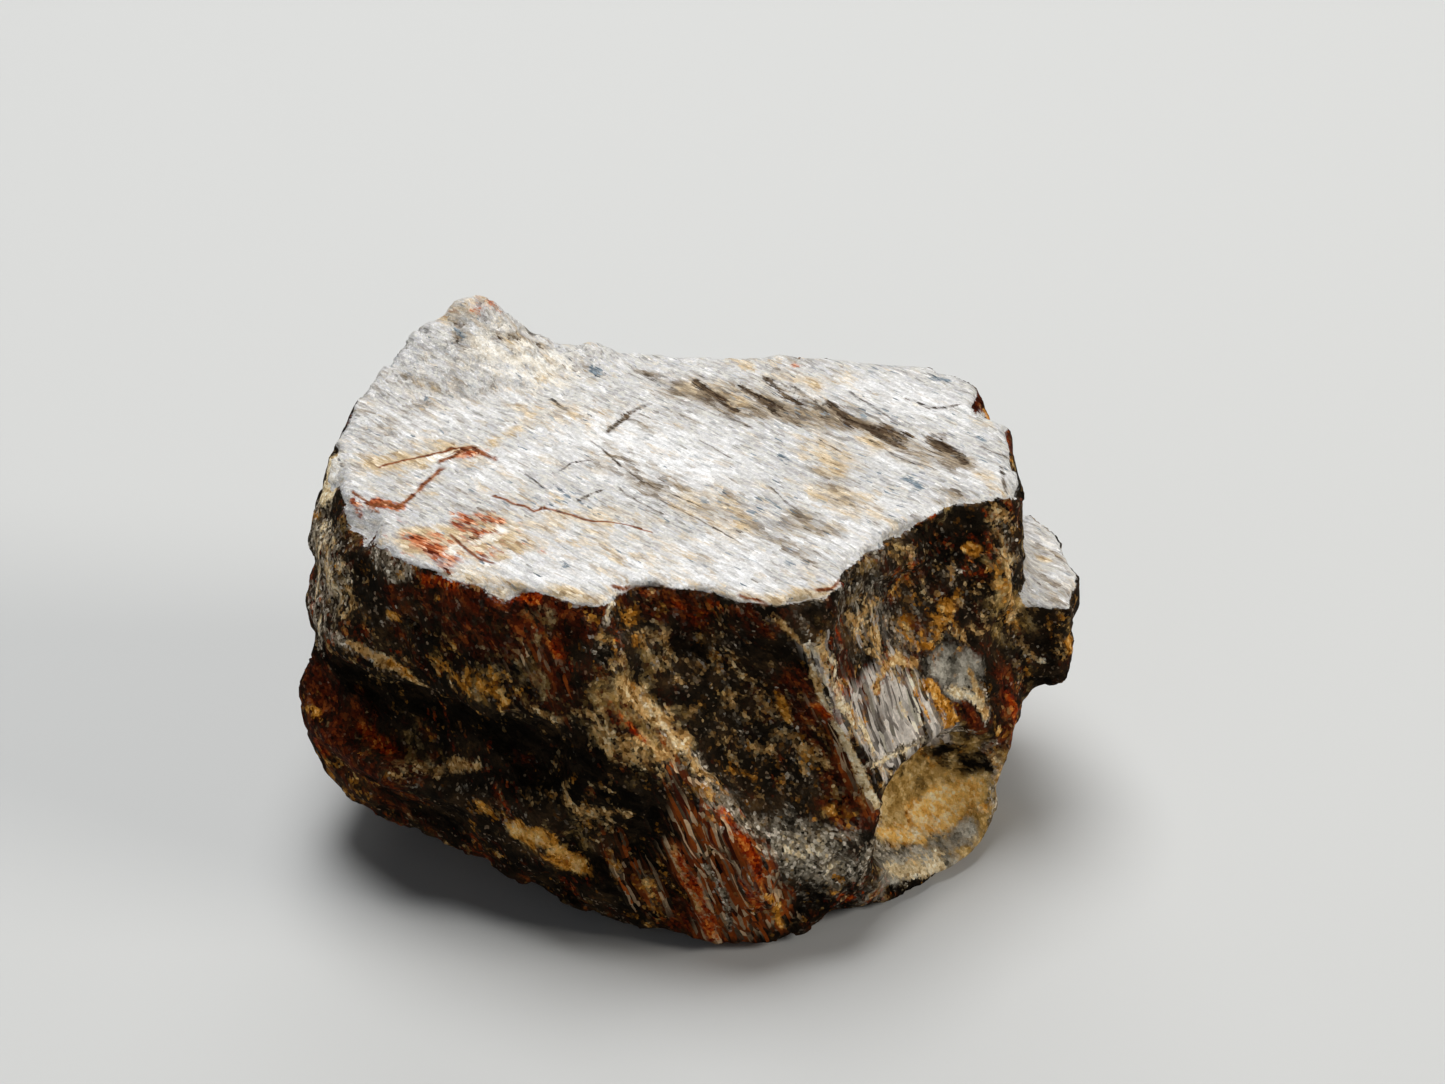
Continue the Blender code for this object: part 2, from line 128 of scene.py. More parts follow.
# Offsets that keep one noise apart from the next. STRAY_APART and HIDDEN_APART are steps from kind to kind
# of marking.
FRAY_OFFSET = 21.0
WANDER_OFFSETS = (3.0, 10.0, 17.0)
LINE_OFFSETS = (40.0, 41.0)
STRAY_APART = 11.0
HIDDEN_APART = 6.0
HIDDEN_OFFSET = 2.0
CHIP_OFFSET = 9.0
RIM_OFFSET = 4.0
CRUST_OFFSET = 5.0
TILT_OFFSETS = (Vector((17.3, 0.0, 0.0)), Vector((0.0, 31.7, 0.0)), Vector((0.0, 0.0, 53.9)))

# By how much the middles of two chips are drawn apart before their height and tilt are read from a noise
CHIP_SPREAD = 3.7

# Step in pixels between the points of a marking that are cast onto the crystal
PIXEL_STEP = 9.0

# Keeps a division by a length of nothing safe
TINY = 1e-9

# Markings by kind. There are stains (red, umber, ember, rust), crusts (sand, ochre, honey, pale, cream),
# darker or lighter broken grains (haze, slate, splinter, striae, grey), painted shade (shade), marks of the
# top (bright, taupe, tan, speck, groove), and two that shape the relief alone (fibre, smooth). Shade is
# painted shade in hollows, under overhangs and along the underside, and darkens some broken grains too.
# Bright is a painted highlight of the top's sheen. Grey holds painted glints and highlights on edges, the
# lip, a facet and the left corner, haze a painted sheen on the foot ledge, and pale a painted highlight
# along the plate's edge and the lip. Their order sets the offsets of their noises.
# Each marking is the distance in millimetres at which it has half its strength, its strength, which covers
# the surface at 1 and reaches further out above that, and its route over the photograph in pixels.
MARKS = {}
MARKS["red"] = {
    "under the edge left": (0.6, 0.85, (364, 516), (385, 534), (408, 554)),
    "under the edge middle": (0.6, 0.75, (460, 592), (500, 600), (560, 612), (600, 616)),
    "brow": (1.6, 0.62, (480, 620), (530, 655)),
    "brow low": (1.2, 0.45, (560, 690), (600, 700)),
    "brow left": (0.8, 0.5, (400, 590), (430, 610)),
    "plate corner": (0.7, 0.7, (628, 592), (660, 600), (700, 612)),
    "plate top right": (0.5, 0.55, (740, 612), (775, 625)),
    "plate low right": (0.6, 0.8, (836, 800), (858, 816)),
    "plate right": (0.7, 0.6, (790, 680), (820, 740), (846, 780)),
    "belly left": (2.0, 0.6, (312, 690), (340, 745), (375, 780)),
    "right ridge": (0.5, 0.7, (1000, 670), (1010, 700), (1008, 745)),
    "right ridge inner": (0.4, 0.75, (960, 706), (984, 728)),
    "corner facet": (0.9, 0.95, (980, 405), (1002, 436)),
    "chute specks": (1.6, 0.3, (900, 590), (960, 660)),
    "ledge": (0.3, 0.5, (1030, 690), (1060, 680)),
    "foot middle": (0.8, 0.45, (640, 880), (680, 920)),
}
# Painted shade under the crust, under the lip and the foot and on the steep chute top; dark grains elsewhere
MARKS["shade"] = {
    "under the crust": (0.8, 0.9, (350, 672), (400, 700), (470, 718), (540, 738), (590, 768)),
    "under the crust left": (0.5, 0.75, (318, 652), (345, 680)),
    "foot middle": (1.3, 0.8, (540, 772), (620, 800), (650, 850)),
    "foot low": (1.0, 0.8, (600, 880), (660, 900)),
    "plate": (1.6, 0.26, (700, 640), (760, 680), (800, 760)),
    "chute top": (1.1, 0.75, (930, 545), (985, 575)),
    "chute upper": (0.8, 0.6, (846, 592), (866, 650)),
    "chute top left": (0.7, 0.4, (860, 575), (900, 545)),
    "hollow top": (0.5, 0.78, (936, 752), (960, 752), (986, 762)),
    "hollow upper": (1.0, 0.32, (920, 765), (960, 770), (980, 780)),
    "ridge inner": (0.4, 0.6, (988, 672), (996, 705), (1000, 735)),
    "foot right": (0.8, 0.8, (800, 910), (845, 900)),
    "hollow foot": (0.4, 1.2, (864, 908), (900, 892), (932, 876), (962, 860)),
    "belly lower": (1.0, 0.65, (400, 800), (470, 828)),
    "ledge front": (1.1, 0.35, (1030, 640), (1060, 655)),
    "left corner": (1.0, 0.5, (330, 540), (345, 590)),
}
MARKS["umber"] = {
    "hollow": (2.2, 0.95, (905, 800), (950, 790), (930, 850)),
    "strip halo": (0.9, 0.5, (620, 690), (660, 740)),
    "brow": (1.0, 0.22, (430, 640), (520, 690)),
    "wall": (0.6, 0.5, (1000, 560), (1010, 630)),
}
# Dull grey grains, and on the foot ledge, which faces up, a painted sheen
MARKS["haze"] = {
    "foot ledge": (0.9, 0.85, (780, 846), (815, 862), (835, 876)),
    "foot ledge top": (0.4, 0.6, (770, 832), (820, 838), (850, 834)),
    "splinter gap": (0.3, 0.7, (738, 868), (752, 890)),
    "strip foot": (0.5, 0.5, (724, 802), (754, 828)),
    "chute upper": (1.4, 0.3, (860, 590), (895, 640)),
    "hollow mottle": (0.5, 0.9, (878, 854), (896, 856), (912, 855)),
    "hollow right rim": (0.3, 0.6, (988, 750), (996, 775), (992, 800)),
    "foot right": (0.8, 0.35, (830, 910), (900, 885)),
}
MARKS["slate"] = {
    "hollow facet": (0.5, 0.9, (940, 838), (962, 832), (950, 848)),
    "hollow low": (0.6, 0.95, (884, 868), (904, 871), (928, 864), (946, 858)),
    "chute facet": (0.6, 0.95, (938, 662), (956, 666), (968, 682)),
}
MARKS["splinter"] = {
    "bundle": (1.0, 0.85, (700, 822), (715, 870), (732, 925)),
    "bundle right": (0.6, 0.8, (740, 835), (765, 880), (778, 915)),
    "bundle left": (0.5, 0.85, (674, 845), (692, 890), (712, 938)),
    "strip": (0.4, 0.5, (655, 740), (690, 790)),
    "brow middle": (0.7, 0.4, (535, 655), (575, 700)),
    "foot left": (0.8, 0.4, (610, 850), (650, 900)),
    "plate edge": (0.3, 0.6, (815, 700), (850, 775), (872, 815)),
}
MARKS["striae"] = {
    "chute": (1.0, 1.0, (884, 690), (905, 728)),
    "chute right": (0.6, 0.9, (925, 705), (940, 735)),
    "chute left": (0.5, 0.85, (850, 690), (868, 735), (884, 765)),
    "chute upper": (0.8, 0.3, (865, 620), (885, 655)),
    "chute left upper": (0.5, 0.25, (826, 640), (848, 690)),
    "plate edge": (0.3, 0.7, (808, 650), (830, 695), (850, 735)),
}
# Pale grey crust, and painted glints and highlights: the glittering left corner, the lip, edges, the facet
MARKS["grey"] = {
    "left corner": (1.1, 0.62, (316, 530), (332, 570), (320, 605)),
    "left corner sheen": (0.4, 0.75, (374, 556), (404, 568)),
    "left edge flecks": (0.16, 0.8, (328, 618), (320, 648)),
    "crust left": (0.28, 0.8, (328, 632), (350, 644), (370, 656)),
    "strip ridge": (0.25, 0.85, (684, 746), (700, 766), (712, 784)),
    "strip foot": (0.35, 0.8, (724, 802), (740, 816), (754, 828)),
    "strip halo": (0.8, 0.25, (640, 700), (690, 760), (720, 800)),
    "foot ledge": (0.7, 0.5, (784, 846), (815, 862), (835, 876)),
    "splinter pale": (0.13, 0.8, (704, 862), (722, 892), (733, 928)),
    "plate specks": (1.8, 0.22, (700, 660), (790, 770)),
    "chute upper": (1.2, 0.35, (855, 590), (895, 640)),
    "chute top": (1.2, 0.22, (880, 560), (960, 580)),
    "chute facet low": (0.16, 0.8, (946, 688), (960, 691), (972, 690)),
    "chute facet rim": (0.2, 0.85, (980, 684), (988, 718)),
    "chute edge upper": (0.25, 0.25, (800, 612), (816, 650), (832, 690)),
    "lip": (0.15, 0.85, (866, 766), (887, 756), (915, 744), (946, 733), (975, 732)),
    "hollow rim": (0.13, 0.85, (880, 822), (868, 850), (860, 888)),
    "hollow right rim": (0.25, 0.6, (992, 745), (998, 790), (988, 830)),
    "hollow low": (0.3, 0.6, (888, 874), (914, 875), (938, 866)),
    "wall": (0.6, 0.35, (1004, 530), (1012, 580)),
    "notch": (0.16, 0.9, (613, 588), (611, 606), (607, 622)),
    "seam": (0.45, 0.35, (604, 640), (606, 664)),
    "plate edge": (0.12, 0.8, (804, 645), (817, 680), (831, 718), (850, 748)),
    "belly": (1.0, 0.2, (420, 790), (520, 800)),
    "ledge front": (0.5, 0.3, (1012, 640), (1020, 660)),
}
MARKS["sand"] = {
    "belly band": (0.28, 0.6, (398, 771), (441, 768), (474, 764)),
    "belly right": (0.5, 0.35, (540, 790), (600, 815)),
    "crust left": (0.25, 0.75, (356, 645), (387, 664), (419, 684)),
    "brow low": (0.25, 0.55, (536, 712), (553, 718), (598, 714)),
    "seam top": (0.25, 0.3, (606, 630), (612, 660)),
    "strip head": (0.4, 0.5, (613, 666), (626, 686)),
    "strip upper": (0.4, 0.95, (624, 690), (645, 704), (664, 722), (682, 742)),
    "strip left": (0.5, 0.7, (604, 738), (630, 748), (655, 764)),
    "strip low": (0.3, 0.5, (690, 760), (706, 778)),
    "plate specks": (1.6, 0.3, (720, 680), (760, 720), (800, 760)),
    "left corner specks": (0.9, 0.4, (325, 560), (345, 600)),
    "plate upper specks": (0.6, 0.42, (655, 640), (672, 662)),
    "plate edge upper": (0.1, 0.75, (782, 622), (802, 645), (815, 680)),
    "plate edge": (0.11, 1.2, (815, 680), (829, 718), (848, 748), (880, 813)),
    "splinter left": (0.16, 0.8, (672, 845), (688, 884), (704, 917), (716, 938)),
    "foot left": (0.6, 0.4, (582, 812), (612, 828)),
    "hollow left": (0.4, 0.6, (880, 828), (892, 838)),
    "hollow low": (0.25, 0.6, (884, 838), (905, 840), (926, 842)),
    "chute facet edge": (0.14, 0.75, (968, 668), (978, 690), (986, 718)),
    "hollow right rim": (0.2, 0.5, (990, 752), (998, 775)),
    "chute ring right": (0.3, 0.5, (966, 600), (980, 616), (976, 632), (952, 634)),
    "chute cream": (0.18, 0.85, (876, 690), (882, 668), (896, 657), (912, 665)),
    "chute upper specks": (0.9, 0.42, (850, 615), (895, 650)),
    "chute top specks": (1.0, 0.3, (900, 560), (980, 590)),
    "beside the edge": (0.4, 0.5, (820, 650), (840, 690), (856, 725)),
    "chute left streaks": (0.4, 0.5, (838, 690), (858, 722), (872, 752)),
    "ledge front specks": (0.9, 0.22, (1030, 640), (1055, 655)),
    "wall streaks": (0.45, 0.5, (998, 505), (1006, 550), (1012, 610)),
}
MARKS["ochre"] = {
    "hollow middle": (0.6, 0.9, (925, 816), (945, 806), (966, 796)),
    "hollow left": (0.4, 0.8, (904, 834), (925, 824)),
    "hollow spot": (0.2, 0.9, (911, 866), (915, 867)),
    "belly patch": (0.42, 0.95, (512, 832), (530, 836), (545, 840)),
    "belly patch right": (0.38, 0.9, (553, 852), (566, 858), (578, 866)),
    "belly band low": (0.45, 0.45, (478, 808), (508, 822)),
    "left edge spot": (0.2, 0.7, (309, 710), (318, 716)),
    "crust bright": (0.25, 0.85, (391, 664), (408, 673)),
    "brow spot": (0.2, 0.8, (388, 612), (400, 616)),
    "brow middle": (0.8, 0.36, (445, 668), (500, 694)),
    "brow right": (0.35, 0.7, (484, 688), (506, 698)),
    "plate streaks": (0.18, 0.7, (778, 694), (790, 716)),
    "plate low right": (0.3, 0.35, (835, 812), (858, 824)),
    "splinter right": (0.18, 0.6, (760, 880), (772, 905), (782, 925)),
    "chute ring left": (0.3, 0.62, (938, 634), (942, 610), (960, 600)),
    "chute spot": (0.22, 0.9, (967, 550), (978, 552)),
    "chute spot low": (0.2, 0.9, (920, 646), (929, 648)),
    "chute right": (0.35, 0.95, (932, 692), (942, 706), (950, 722)),
    "chute streaks": (0.9, 0.35, (900, 600), (930, 640)),
    "chute streak low": (0.1, 0.8, (914, 690), (922, 706), (928, 722)),
    "ledge edge": (0.3, 0.8, (1068, 640), (1074, 668)),
    "wall low": (0.5, 0.4, (1000, 560), (1010, 620)),
    "right ridge": (0.5, 0.35, (994, 690), (1004, 735)),
}
MARKS["honey"] = {
    "hollow middle": (0.5, 1.4, (928, 813), (950, 802), (968, 793)),
    "hollow left": (0.3, 0.6, (910, 838), (926, 826)),
    "hollow spot": (0.17, 1.2, (911, 865), (916, 867)),
    "hollow streak": (0.2, 0.9, (880, 834), (900, 836), (920, 838)),
    "belly patch": (0.25, 0.6, (512, 832), (530, 836), (545, 840)),
    "belly patch right": (0.22, 0.6, (553, 852), (566, 858), (578, 866)),
}
# Pale crust, and along the plate's edge and the lip a painted highlight as well
MARKS["pale"] = {
    "plate edge": (0.13, 1.1, (819, 692), (831, 720), (849, 751), (866, 785), (880, 812)),
    "plate edge upper": (0.08, 0.6, (804, 648), (817, 684)),
    "beside the edge": (0.35, 0.5, (822, 646), (838, 680), (854, 722)),
    "chute left": (0.14, 0.8, (838, 697), (847, 718)),
    "chute facet rim": (0.16, 0.8, (950, 690), (968, 694), (982, 704)),
    "foot ledge": (0.5, 0.4, (790, 846), (815, 858), (838, 870)),
    "chute left low": (0.14, 0.8, (862, 724), (870, 744), (876, 756)),
    "chute middle": (0.1, 0.6, (900, 700), (908, 722)),
    "lip": (0.08, 0.8, (872, 766), (890, 757), (916, 745)),
    "left rim top": (0.45, 1.3, (341, 453), (334, 470), (327, 492)),
    "left rim": (0.1, 0.9, (321, 548), (319, 575), (316, 600)),
    "left corner": (0.8, 0.4, (322, 540), (336, 590)),
    "left rim low": (0.09, 0.8, (322, 618), (320, 636)),
    "notch": (0.08, 0.8, (612, 590), (610, 606), (606, 620)),
    "strip": (0.12, 0.6, (640, 700), (662, 722), (684, 748)),
    "ledge rim": (0.1, 0.7, (1030, 655), (1042, 662)),
    "hollow middle": (0.3, 0.45, (900, 832), (922, 828), (940, 822)),
    "hollow low": (0.4, 0.8, (888, 868), (912, 872), (936, 863)),
}
MARKS["ember"] = {
    "under the edge left": (0.25, 0.5, (370, 520), (390, 536)),
    "under the edge": (0.25, 0.7, (424, 578), (436, 581), (452, 584)),
    "under the edge bright": (0.25, 0.95, (516, 592), (535, 596)),
    "brow streak": (0.2, 0.5, (525, 610), (550, 640), (570, 665)),
    "strip gap": (0.1, 0.55, (608, 704), (626, 722), (648, 743)),
    "plate glow": (0.25, 0.42, (672, 606), (694, 614), (716, 608)),
    "plate edge sliver": (0.16, 0.85, (816, 704), (826, 716)),
    "belly streak": (0.18, 0.85, (361, 727), (376, 740), (391, 752)),
    "left edge low": (0.2, 0.6, (318, 742), (324, 750)),
    "splinter red": (0.17, 0.85, (724, 812), (742, 838), (756, 862), (762, 878)),
    "splinter red left": (0.22, 0.75, (677, 852), (690, 880), (706, 915), (720, 936)),
    "splinter red low": (0.18, 0.7, (688, 868), (700, 905), (712, 940)),
    "splinter end": (0.2, 0.6, (742, 880), (758, 905)),
    "right ridge": (0.16, 0.6, (1008, 690), (1014, 722), (1010, 742)),
    "foot line": (0.12, 0.85, (828, 916), (852, 899)),
    "chute edge": (0.16, 0.7, (908, 526), (934, 514)),
}
# Painted highlight: where the cleaved top shines brightest under the lights
MARKS["bright"] = {
    "middle left": (1.8, 0.9, (610, 440), (690, 470)),
    "front": (1.8, 0.6, (490, 560), (600, 570), (740, 575)),
    "back right": (1.0, 0.7, (865, 390), (955, 410)),
    "right": (1.0, 0.7, (890, 450), (990, 470)),
    "left": (1.0, 0.5, (410, 430), (470, 410)),
    "front right": (1.0, 0.55, (780, 560), (860, 530)),
}
MARKS["taupe"] = {
    "back band": (0.9, 0.85, (690, 392), (760, 406), (830, 418)),
    "back band right": (0.7, 0.7, (850, 428), (900, 445), (960, 462)),
    "back left": (0.4, 0.5, (640, 372), (690, 388)),
    "middle band": (0.8, 0.55, (610, 455), (650, 480), (700, 500)),
    "middle band right": (0.8, 0.45, (660, 480), (740, 520), (800, 550)),
    "right haze": (0.7, 0.6, (830, 470), (848, 500)),
    "right haze low": (0.6, 0.6, (795, 520), (832, 534)),
    "peak spots": (0.4, 0.65, (458, 335), (466, 346)),
    "peak band": (0.35, 0.65, (500, 334), (545, 342)),
    "left dull": (1.6, 0.35, (380, 420), (450, 380)),
    "peak": (1.2, 0.25, (455, 320), (500, 318)),
    "ledge": (1.4, 0.45, (1040, 560), (1062, 600)),
    "back band middle": (0.5, 0.7, (806, 404), (834, 418)),
    "rust patch": (0.5, 0.7, (462, 526), (494, 520)),
}
MARKS["tan"] = {
    "cream patch": (1.2, 0.35, (490, 348), (545, 368)),
    "crack halo": (0.6, 0.75, (382, 466), (430, 457), (465, 449)),
    "left halo": (1.4, 0.3, (350, 450), (400, 480)),
    "red halo": (0.9, 0.9, (425, 540), (470, 540), (505, 540)),
    "front edge": (0.4, 0.7, (450, 572), (500, 586), (560, 598), (605, 602)),
    "front edge right": (0.35, 0.7, (690, 596), (760, 602), (835, 586)),
    "middle haze": (1.6, 0.4, (560, 520), (660, 560)),
    "thin crack halo": (0.3, 0.65, (560, 512), (600, 524), (625, 520)),
    "right halo": (0.8, 0.6, (820, 450), (836, 462)),
    "back patch": (0.6, 0.45, (700, 385), (740, 402)),
    "right back patch": (0.4, 0.75, (868, 440), (880, 446)),
    "mark patch": (0.3, 0.75, (493, 441), (517, 429)),
    "corner": (0.5, 0.5, (985, 475), (1002, 490)),
    "ledge fleck": (0.15, 0.9, (1040, 558), (1046, 560)),
    "peak": (0.8, 0.5, (455, 312), (480, 305)),
}
MARKS["rust"] = {
    "crack upper thick": (0.26, 0.85, (460, 456), (480, 453)),
    "crack lower thick": (0.2, 0.95, (371, 505), (385, 504), (398, 507)),
    "patch left": (0.6, 0.72, (424, 540), (440, 550), (450, 556)),
    "patch middle": (0.45, 0.62, (460, 522), (476, 534)),
    "patch right": (0.28, 0.6, (480, 518), (500, 520)),
    "patch low": (0.4, 0.5, (462, 548), (490, 552)),
    "patch halo": (1.0, 0.27, (425, 535), (500, 542)),
    "peak rim": (0.3, 0.3, (452, 311), (475, 309), (494, 313)),
    "back spot": (0.15, 0.6, (795, 364), (800, 366)),
    "left edge": (0.14, 0.8, (352, 500), (362, 515)),
}
MARKS["speck"] = {
    "middle": (0.16, 0.55, (779, 454), (785, 462)),
    "right": (0.16, 0.7, (905, 478), (920, 488)),
    "left": (0.14, 0.7, (424, 398), (428, 402)),
    "peak": (0.16, 0.55, (455, 331), (462, 336)),
    "back": (0.16, 0.7, (592, 370), (600, 374)),
    "back right": (0.2, 0.7, (934, 378), (944, 380)),
    "corner": (0.14, 0.7, (980, 437), (986, 440)),
    "front": (0.14, 0.6, (560, 560), (566, 566)),
}
MARKS["groove"] = {
    "back 2": (0.17, 0.8, (697, 380), (712, 394), (724, 405), (738, 411)),
    "back 3": (0.15, 0.72, (740, 386), (757, 398), (781, 416)),
    "back 4": (0.15, 0.72, (764, 377), (785, 393), (803, 407)),
    "back 5": (0.18, 0.85, (828, 403), (851, 421), (872, 430), (903, 447)),
    "back 5 patch": (0.3, 0.7, (884, 425), (908, 436)),
    "back 6": (0.18, 0.85, (928, 438), (946, 449), (966, 461)),
    "back band": (0.5, 0.3, (740, 400), (800, 412), (850, 424)),
    "mark": (0.12, 0.6, (608, 431), (620, 421), (632, 412)),
    "peak fleck": (0.12, 0.6, (500, 337), (520, 339)),
    "peak fleck low": (0.1, 0.5, (518, 354), (524, 356)),
    "peak fleck left": (0.12, 0.5, (455, 330), (459, 340)),
}
MARKS["cream"] = {
    "left fleck": (0.25, 0.95, (336, 458), (330, 478), (322, 496)),
    "cream patch": (1.1, 0.6, (490, 350), (545, 366)),
    "notch": (0.14, 0.8, (484, 588), (490, 590)),
    "crack halo": (0.25, 0.7, (428, 460), (448, 455)),
    "patch lights": (0.25, 0.7, (452, 552), (470, 543), (490, 540), (502, 528)),
    "ledge": (1.4, 0.2, (1045, 540), (1060, 590)),
    "red halo": (0.3, 0.5, (445, 565), (470, 572)),
}
MARKS["fibre"] = {
    "strip": (0.8, 0.8, (620, 680), (660, 725), (700, 770), (745, 820)),
    "bundle": (1.5, 1.0, (690, 830), (715, 880), (735, 930)),
    "bundle right": (0.9, 0.8, (745, 840), (775, 900)),
    "chute": (1.4, 0.6, (870, 680), (900, 735)),
    "plate edge": (0.5, 0.6, (800, 640), (830, 700), (862, 770)),
    "right ridge": (0.6, 0.5, (1000, 680), (1012, 730)),
}
MARKS["smooth"] = {
    "hollow": (1.9, 0.85, (900, 800), (955, 800), (930, 850)),
    "chute": (1.6, 0.55, (880, 640), (910, 720)),
    "plate": (1.8, 0.35, (700, 660), (800, 740)),
}

# Thin lines of the top face, finer than the mesh: half width in millimetres and route in pixels. Cracks are
# filled with rust, and streaks are dark slits between the fibres.
LINES = {}
LINES["crack"] = {
    "upper": (0.055, (379, 467), (405, 460), (430, 455), (448, 450), (467, 447)),
    "upper end": (0.09, (441, 462), (455, 455), (473, 447), (484, 453), (495, 459)),
    "lower": (0.1, (443, 468), (425, 484), (409, 499), (398, 508), (387, 501), (371, 508)),
    "thin": (0.055, (494, 496), (502, 499), (520, 505), (534, 511), (543, 508), (572, 515), (593, 521)),
    "thin end": (0.035, (593, 521), (620, 523), (650, 532)),
    "notch edge": (0.07, (613, 586), (625, 589), (640, 589), (663, 591)),
    "edge": (0.06, (663, 591), (677, 600), (700, 603), (712, 601)),
    "edge right": (0.05, (739, 595), (757, 601), (767, 605)),
    "corner": (0.06, (815, 590), (842, 587)),
    "patch": (0.05, (451, 535), (466, 548), (480, 560), (492, 563)),
    "left": (0.05, (352, 492), (366, 500), (378, 512)),
}
LINES["streak"] = {
    "long 1": (0.04, (591, 441), (642, 482), (700, 506)),
    "long 2": (0.045, (619, 489), (640, 503), (663, 514)),
    "long 3": (0.035, (660, 500), (700, 520), (745, 545)),
    "short 1": (0.035, (770, 487), (784, 500), (800, 512)),
    "short 2": (0.03, (820, 440), (850, 458)),
    "short 3": (0.03, (700, 440), (730, 458)),
    "short 4": (0.03, (520, 470), (545, 488)),
    "mark": (0.08, (608, 431), (620, 421), (632, 412), (650, 404)),
    "mark left": (0.05, (551, 399), (560, 406), (568, 410)),
    "mark middle": (0.05, (578, 501), (590, 494), (602, 490)),
    "mark low": (0.035, (560, 470), (572, 462), (590, 460)),
    "back 1": (0.09, (636, 371), (660, 382), (684, 396)),
    "back 2": (0.05, (696, 379), (712, 394), (724, 405), (738, 411)),
    "back 3": (0.045, (740, 386), (757, 398), (781, 416)),
    "back 4": (0.045, (764, 377), (785, 393), (803, 407)),
    "back 5": (0.055, (828, 402), (851, 421), (872, 430), (903, 447)),
    "back 6": (0.055, (928, 438), (946, 449), (966, 461)),
    "back 7": (0.09, (981, 447), (1008, 458)),
    "back 8": (0.06, (700, 398), (730, 418), (752, 428)),
    "back 9": (0.06, (905, 398), (930, 408), (960, 406)),
    "back 10": (0.06, (790, 384), (815, 402), (828, 414)),
    "back 11": (0.05, (850, 392), (880, 412), (905, 426)),
    "back 12": (0.06, (870, 440), (900, 458), (935, 470)),
    "edge right": (0.07, (1002, 468), (1006, 492)),
}

# How far the colour of a thin line reaches, how far it runs on past its ends, how far it wanders over what
# size, and how many half widths count as far from every line
LINE_REACH = 0.2
LINE_END = 0.12
LINE_WANDER = 0.07
LINE_WANDER_SIZE = 0.5
FAR_ASIDE = 10.0

# How much of the surface each kind covers where nothing is painted, and how far, over what size and how
# sharply that swings
STRAY = {
    "red": (0.06, 0.34),
    "shade": (0.0, 0.5),
    "umber": (0.0, 0.2),
    "haze": (0.0, 0.04),
    "grey": (0.0, 0.09),
    "sand": (0.03, 0.2),
    "ochre": (0.04, 0.22),
    "ember": (0.0, 0.2),
    # The painted highlight of the top (bright) also lies in loose patches all over it
    "bright": (0.1, 0.5),
    "taupe": (0.03, 0.32),
    "tan": (0.08, 0.42),
    "speck": (0.12, 0.14),
}
STRAY_SIZE = 2.6
STRAY_CONTRAST = 1.6

# Strength, size and contrast of the larger stains on the sides that the photograph doesn't show, and how
# fast they set in where the surface turns away from the camera
HIDDEN = {"red": 0.65, "shade": 0.85, "umber": 0.3, "grey": 0.34, "sand": 0.42, "ochre": 0.44, "ember": 0.3}
HIDDEN_SIZE = 3.4
HIDDEN_CONTRAST = 3.0
TURNED_AWAY = 3.0

# Kinds that lie only on the cleaved face
ON_TOP = ("bright", "taupe", "tan", "rust", "speck", "groove", "cream")


def smooth_step(value, start=0.0, full=1.0):
    """0 up to the start, 1 from where it is full, and an even bend between."""
    share = np.clip((value - start) / (full - start), 0.0, 1.0)
    return share * share * (3.0 - 2.0 * share)


def noise_at(points, size, offset=0.0):
    """Noise from about -1 to 1 at each point, with swells of the given size."""
    shift = Vector((offset, 2.0 * offset, -offset))
    return np.array([noise.noise(Vector(point) / size + shift) for point in points])


def grain_frame(along):
    """Three directions at right angles: along the grain, and two across it."""
    along = along.normalized()
    across = along.cross(Vector((0.0, 0.0, 1.0)))
    if across.length < UPRIGHT:
        across = along.cross(Vector((0.0, 1.0, 0.0)))
    across.normalize()
    return np.array([along, across, along.cross(across)])


def grain_relief(points, along, length, width, height):
    """Relief drawn out along the grain."""
    local = points @ grain_frame(along).T / np.array([length, width, width])
    return height * noise_at(local, 1.0)


def new_object(name, data):
    """A new object in the scene."""
    obj = bpy.data.objects.new(name, data)
    bpy.context.scene.collection.objects.link(obj)
    return obj


def photo_camera():
    """The camera, at the photograph's angle and distance."""
    data = bpy.data.cameras.new("Photo camera")
    data.lens = LENS
    data.sensor_width = SENSOR
    data.clip_start, data.clip_end = CLIP_METRES
    camera = new_object("Photo camera", data)
    rise = math.radians(ELEVATION)
    back = Vector((0.0, -math.cos(rise), math.sin(rise)))
    camera.location = (AIM + back * DISTANCE) * MM
    camera.rotation_euler = (math.radians(90.0 - ELEVATION), 0.0, 0.0)
    bpy.context.scene.camera = camera
    bpy.context.view_layer.update()
    return camera


def mesh_arrays(obj):
    """The points of a mesh in millimetres, and its normals."""
    count = len(obj.data.vertices)
    points = np.empty(count * 3)
    normals = np.empty(count * 3)
    obj.data.vertices.foreach_get("co", points)
    obj.data.vertices.foreach_get("normal", normals)
    return points.reshape(-1, 3) / MM, normals.reshape(-1, 3)


def set_points(obj, points):
    """Move the points of a mesh, given in millimetres."""
    obj.data.vertices.foreach_set("co", (points * MM).ravel())
    obj.data.update()


def smoothed(obj, values, rounds):
    """Values at the points of a mesh, each drawn halfway to the mean of its neighbours, some rounds over."""
    edges = np.empty(len(obj.data.edges) * 2, dtype=int)
    obj.data.edges.foreach_get("vertices", edges)
    starts, ends = edges.reshape(-1, 2).T
    count = np.bincount(starts, minlength=len(values)) + np.bincount(ends, minlength=len(values))
    for _ in range(rounds):
        total = np.zeros_like(values)
        np.add.at(total, starts, values[ends])
        np.add.at(total, ends, values[starts])
        values = 0.5 * values + 0.5 * (total.T / count).T
    return values


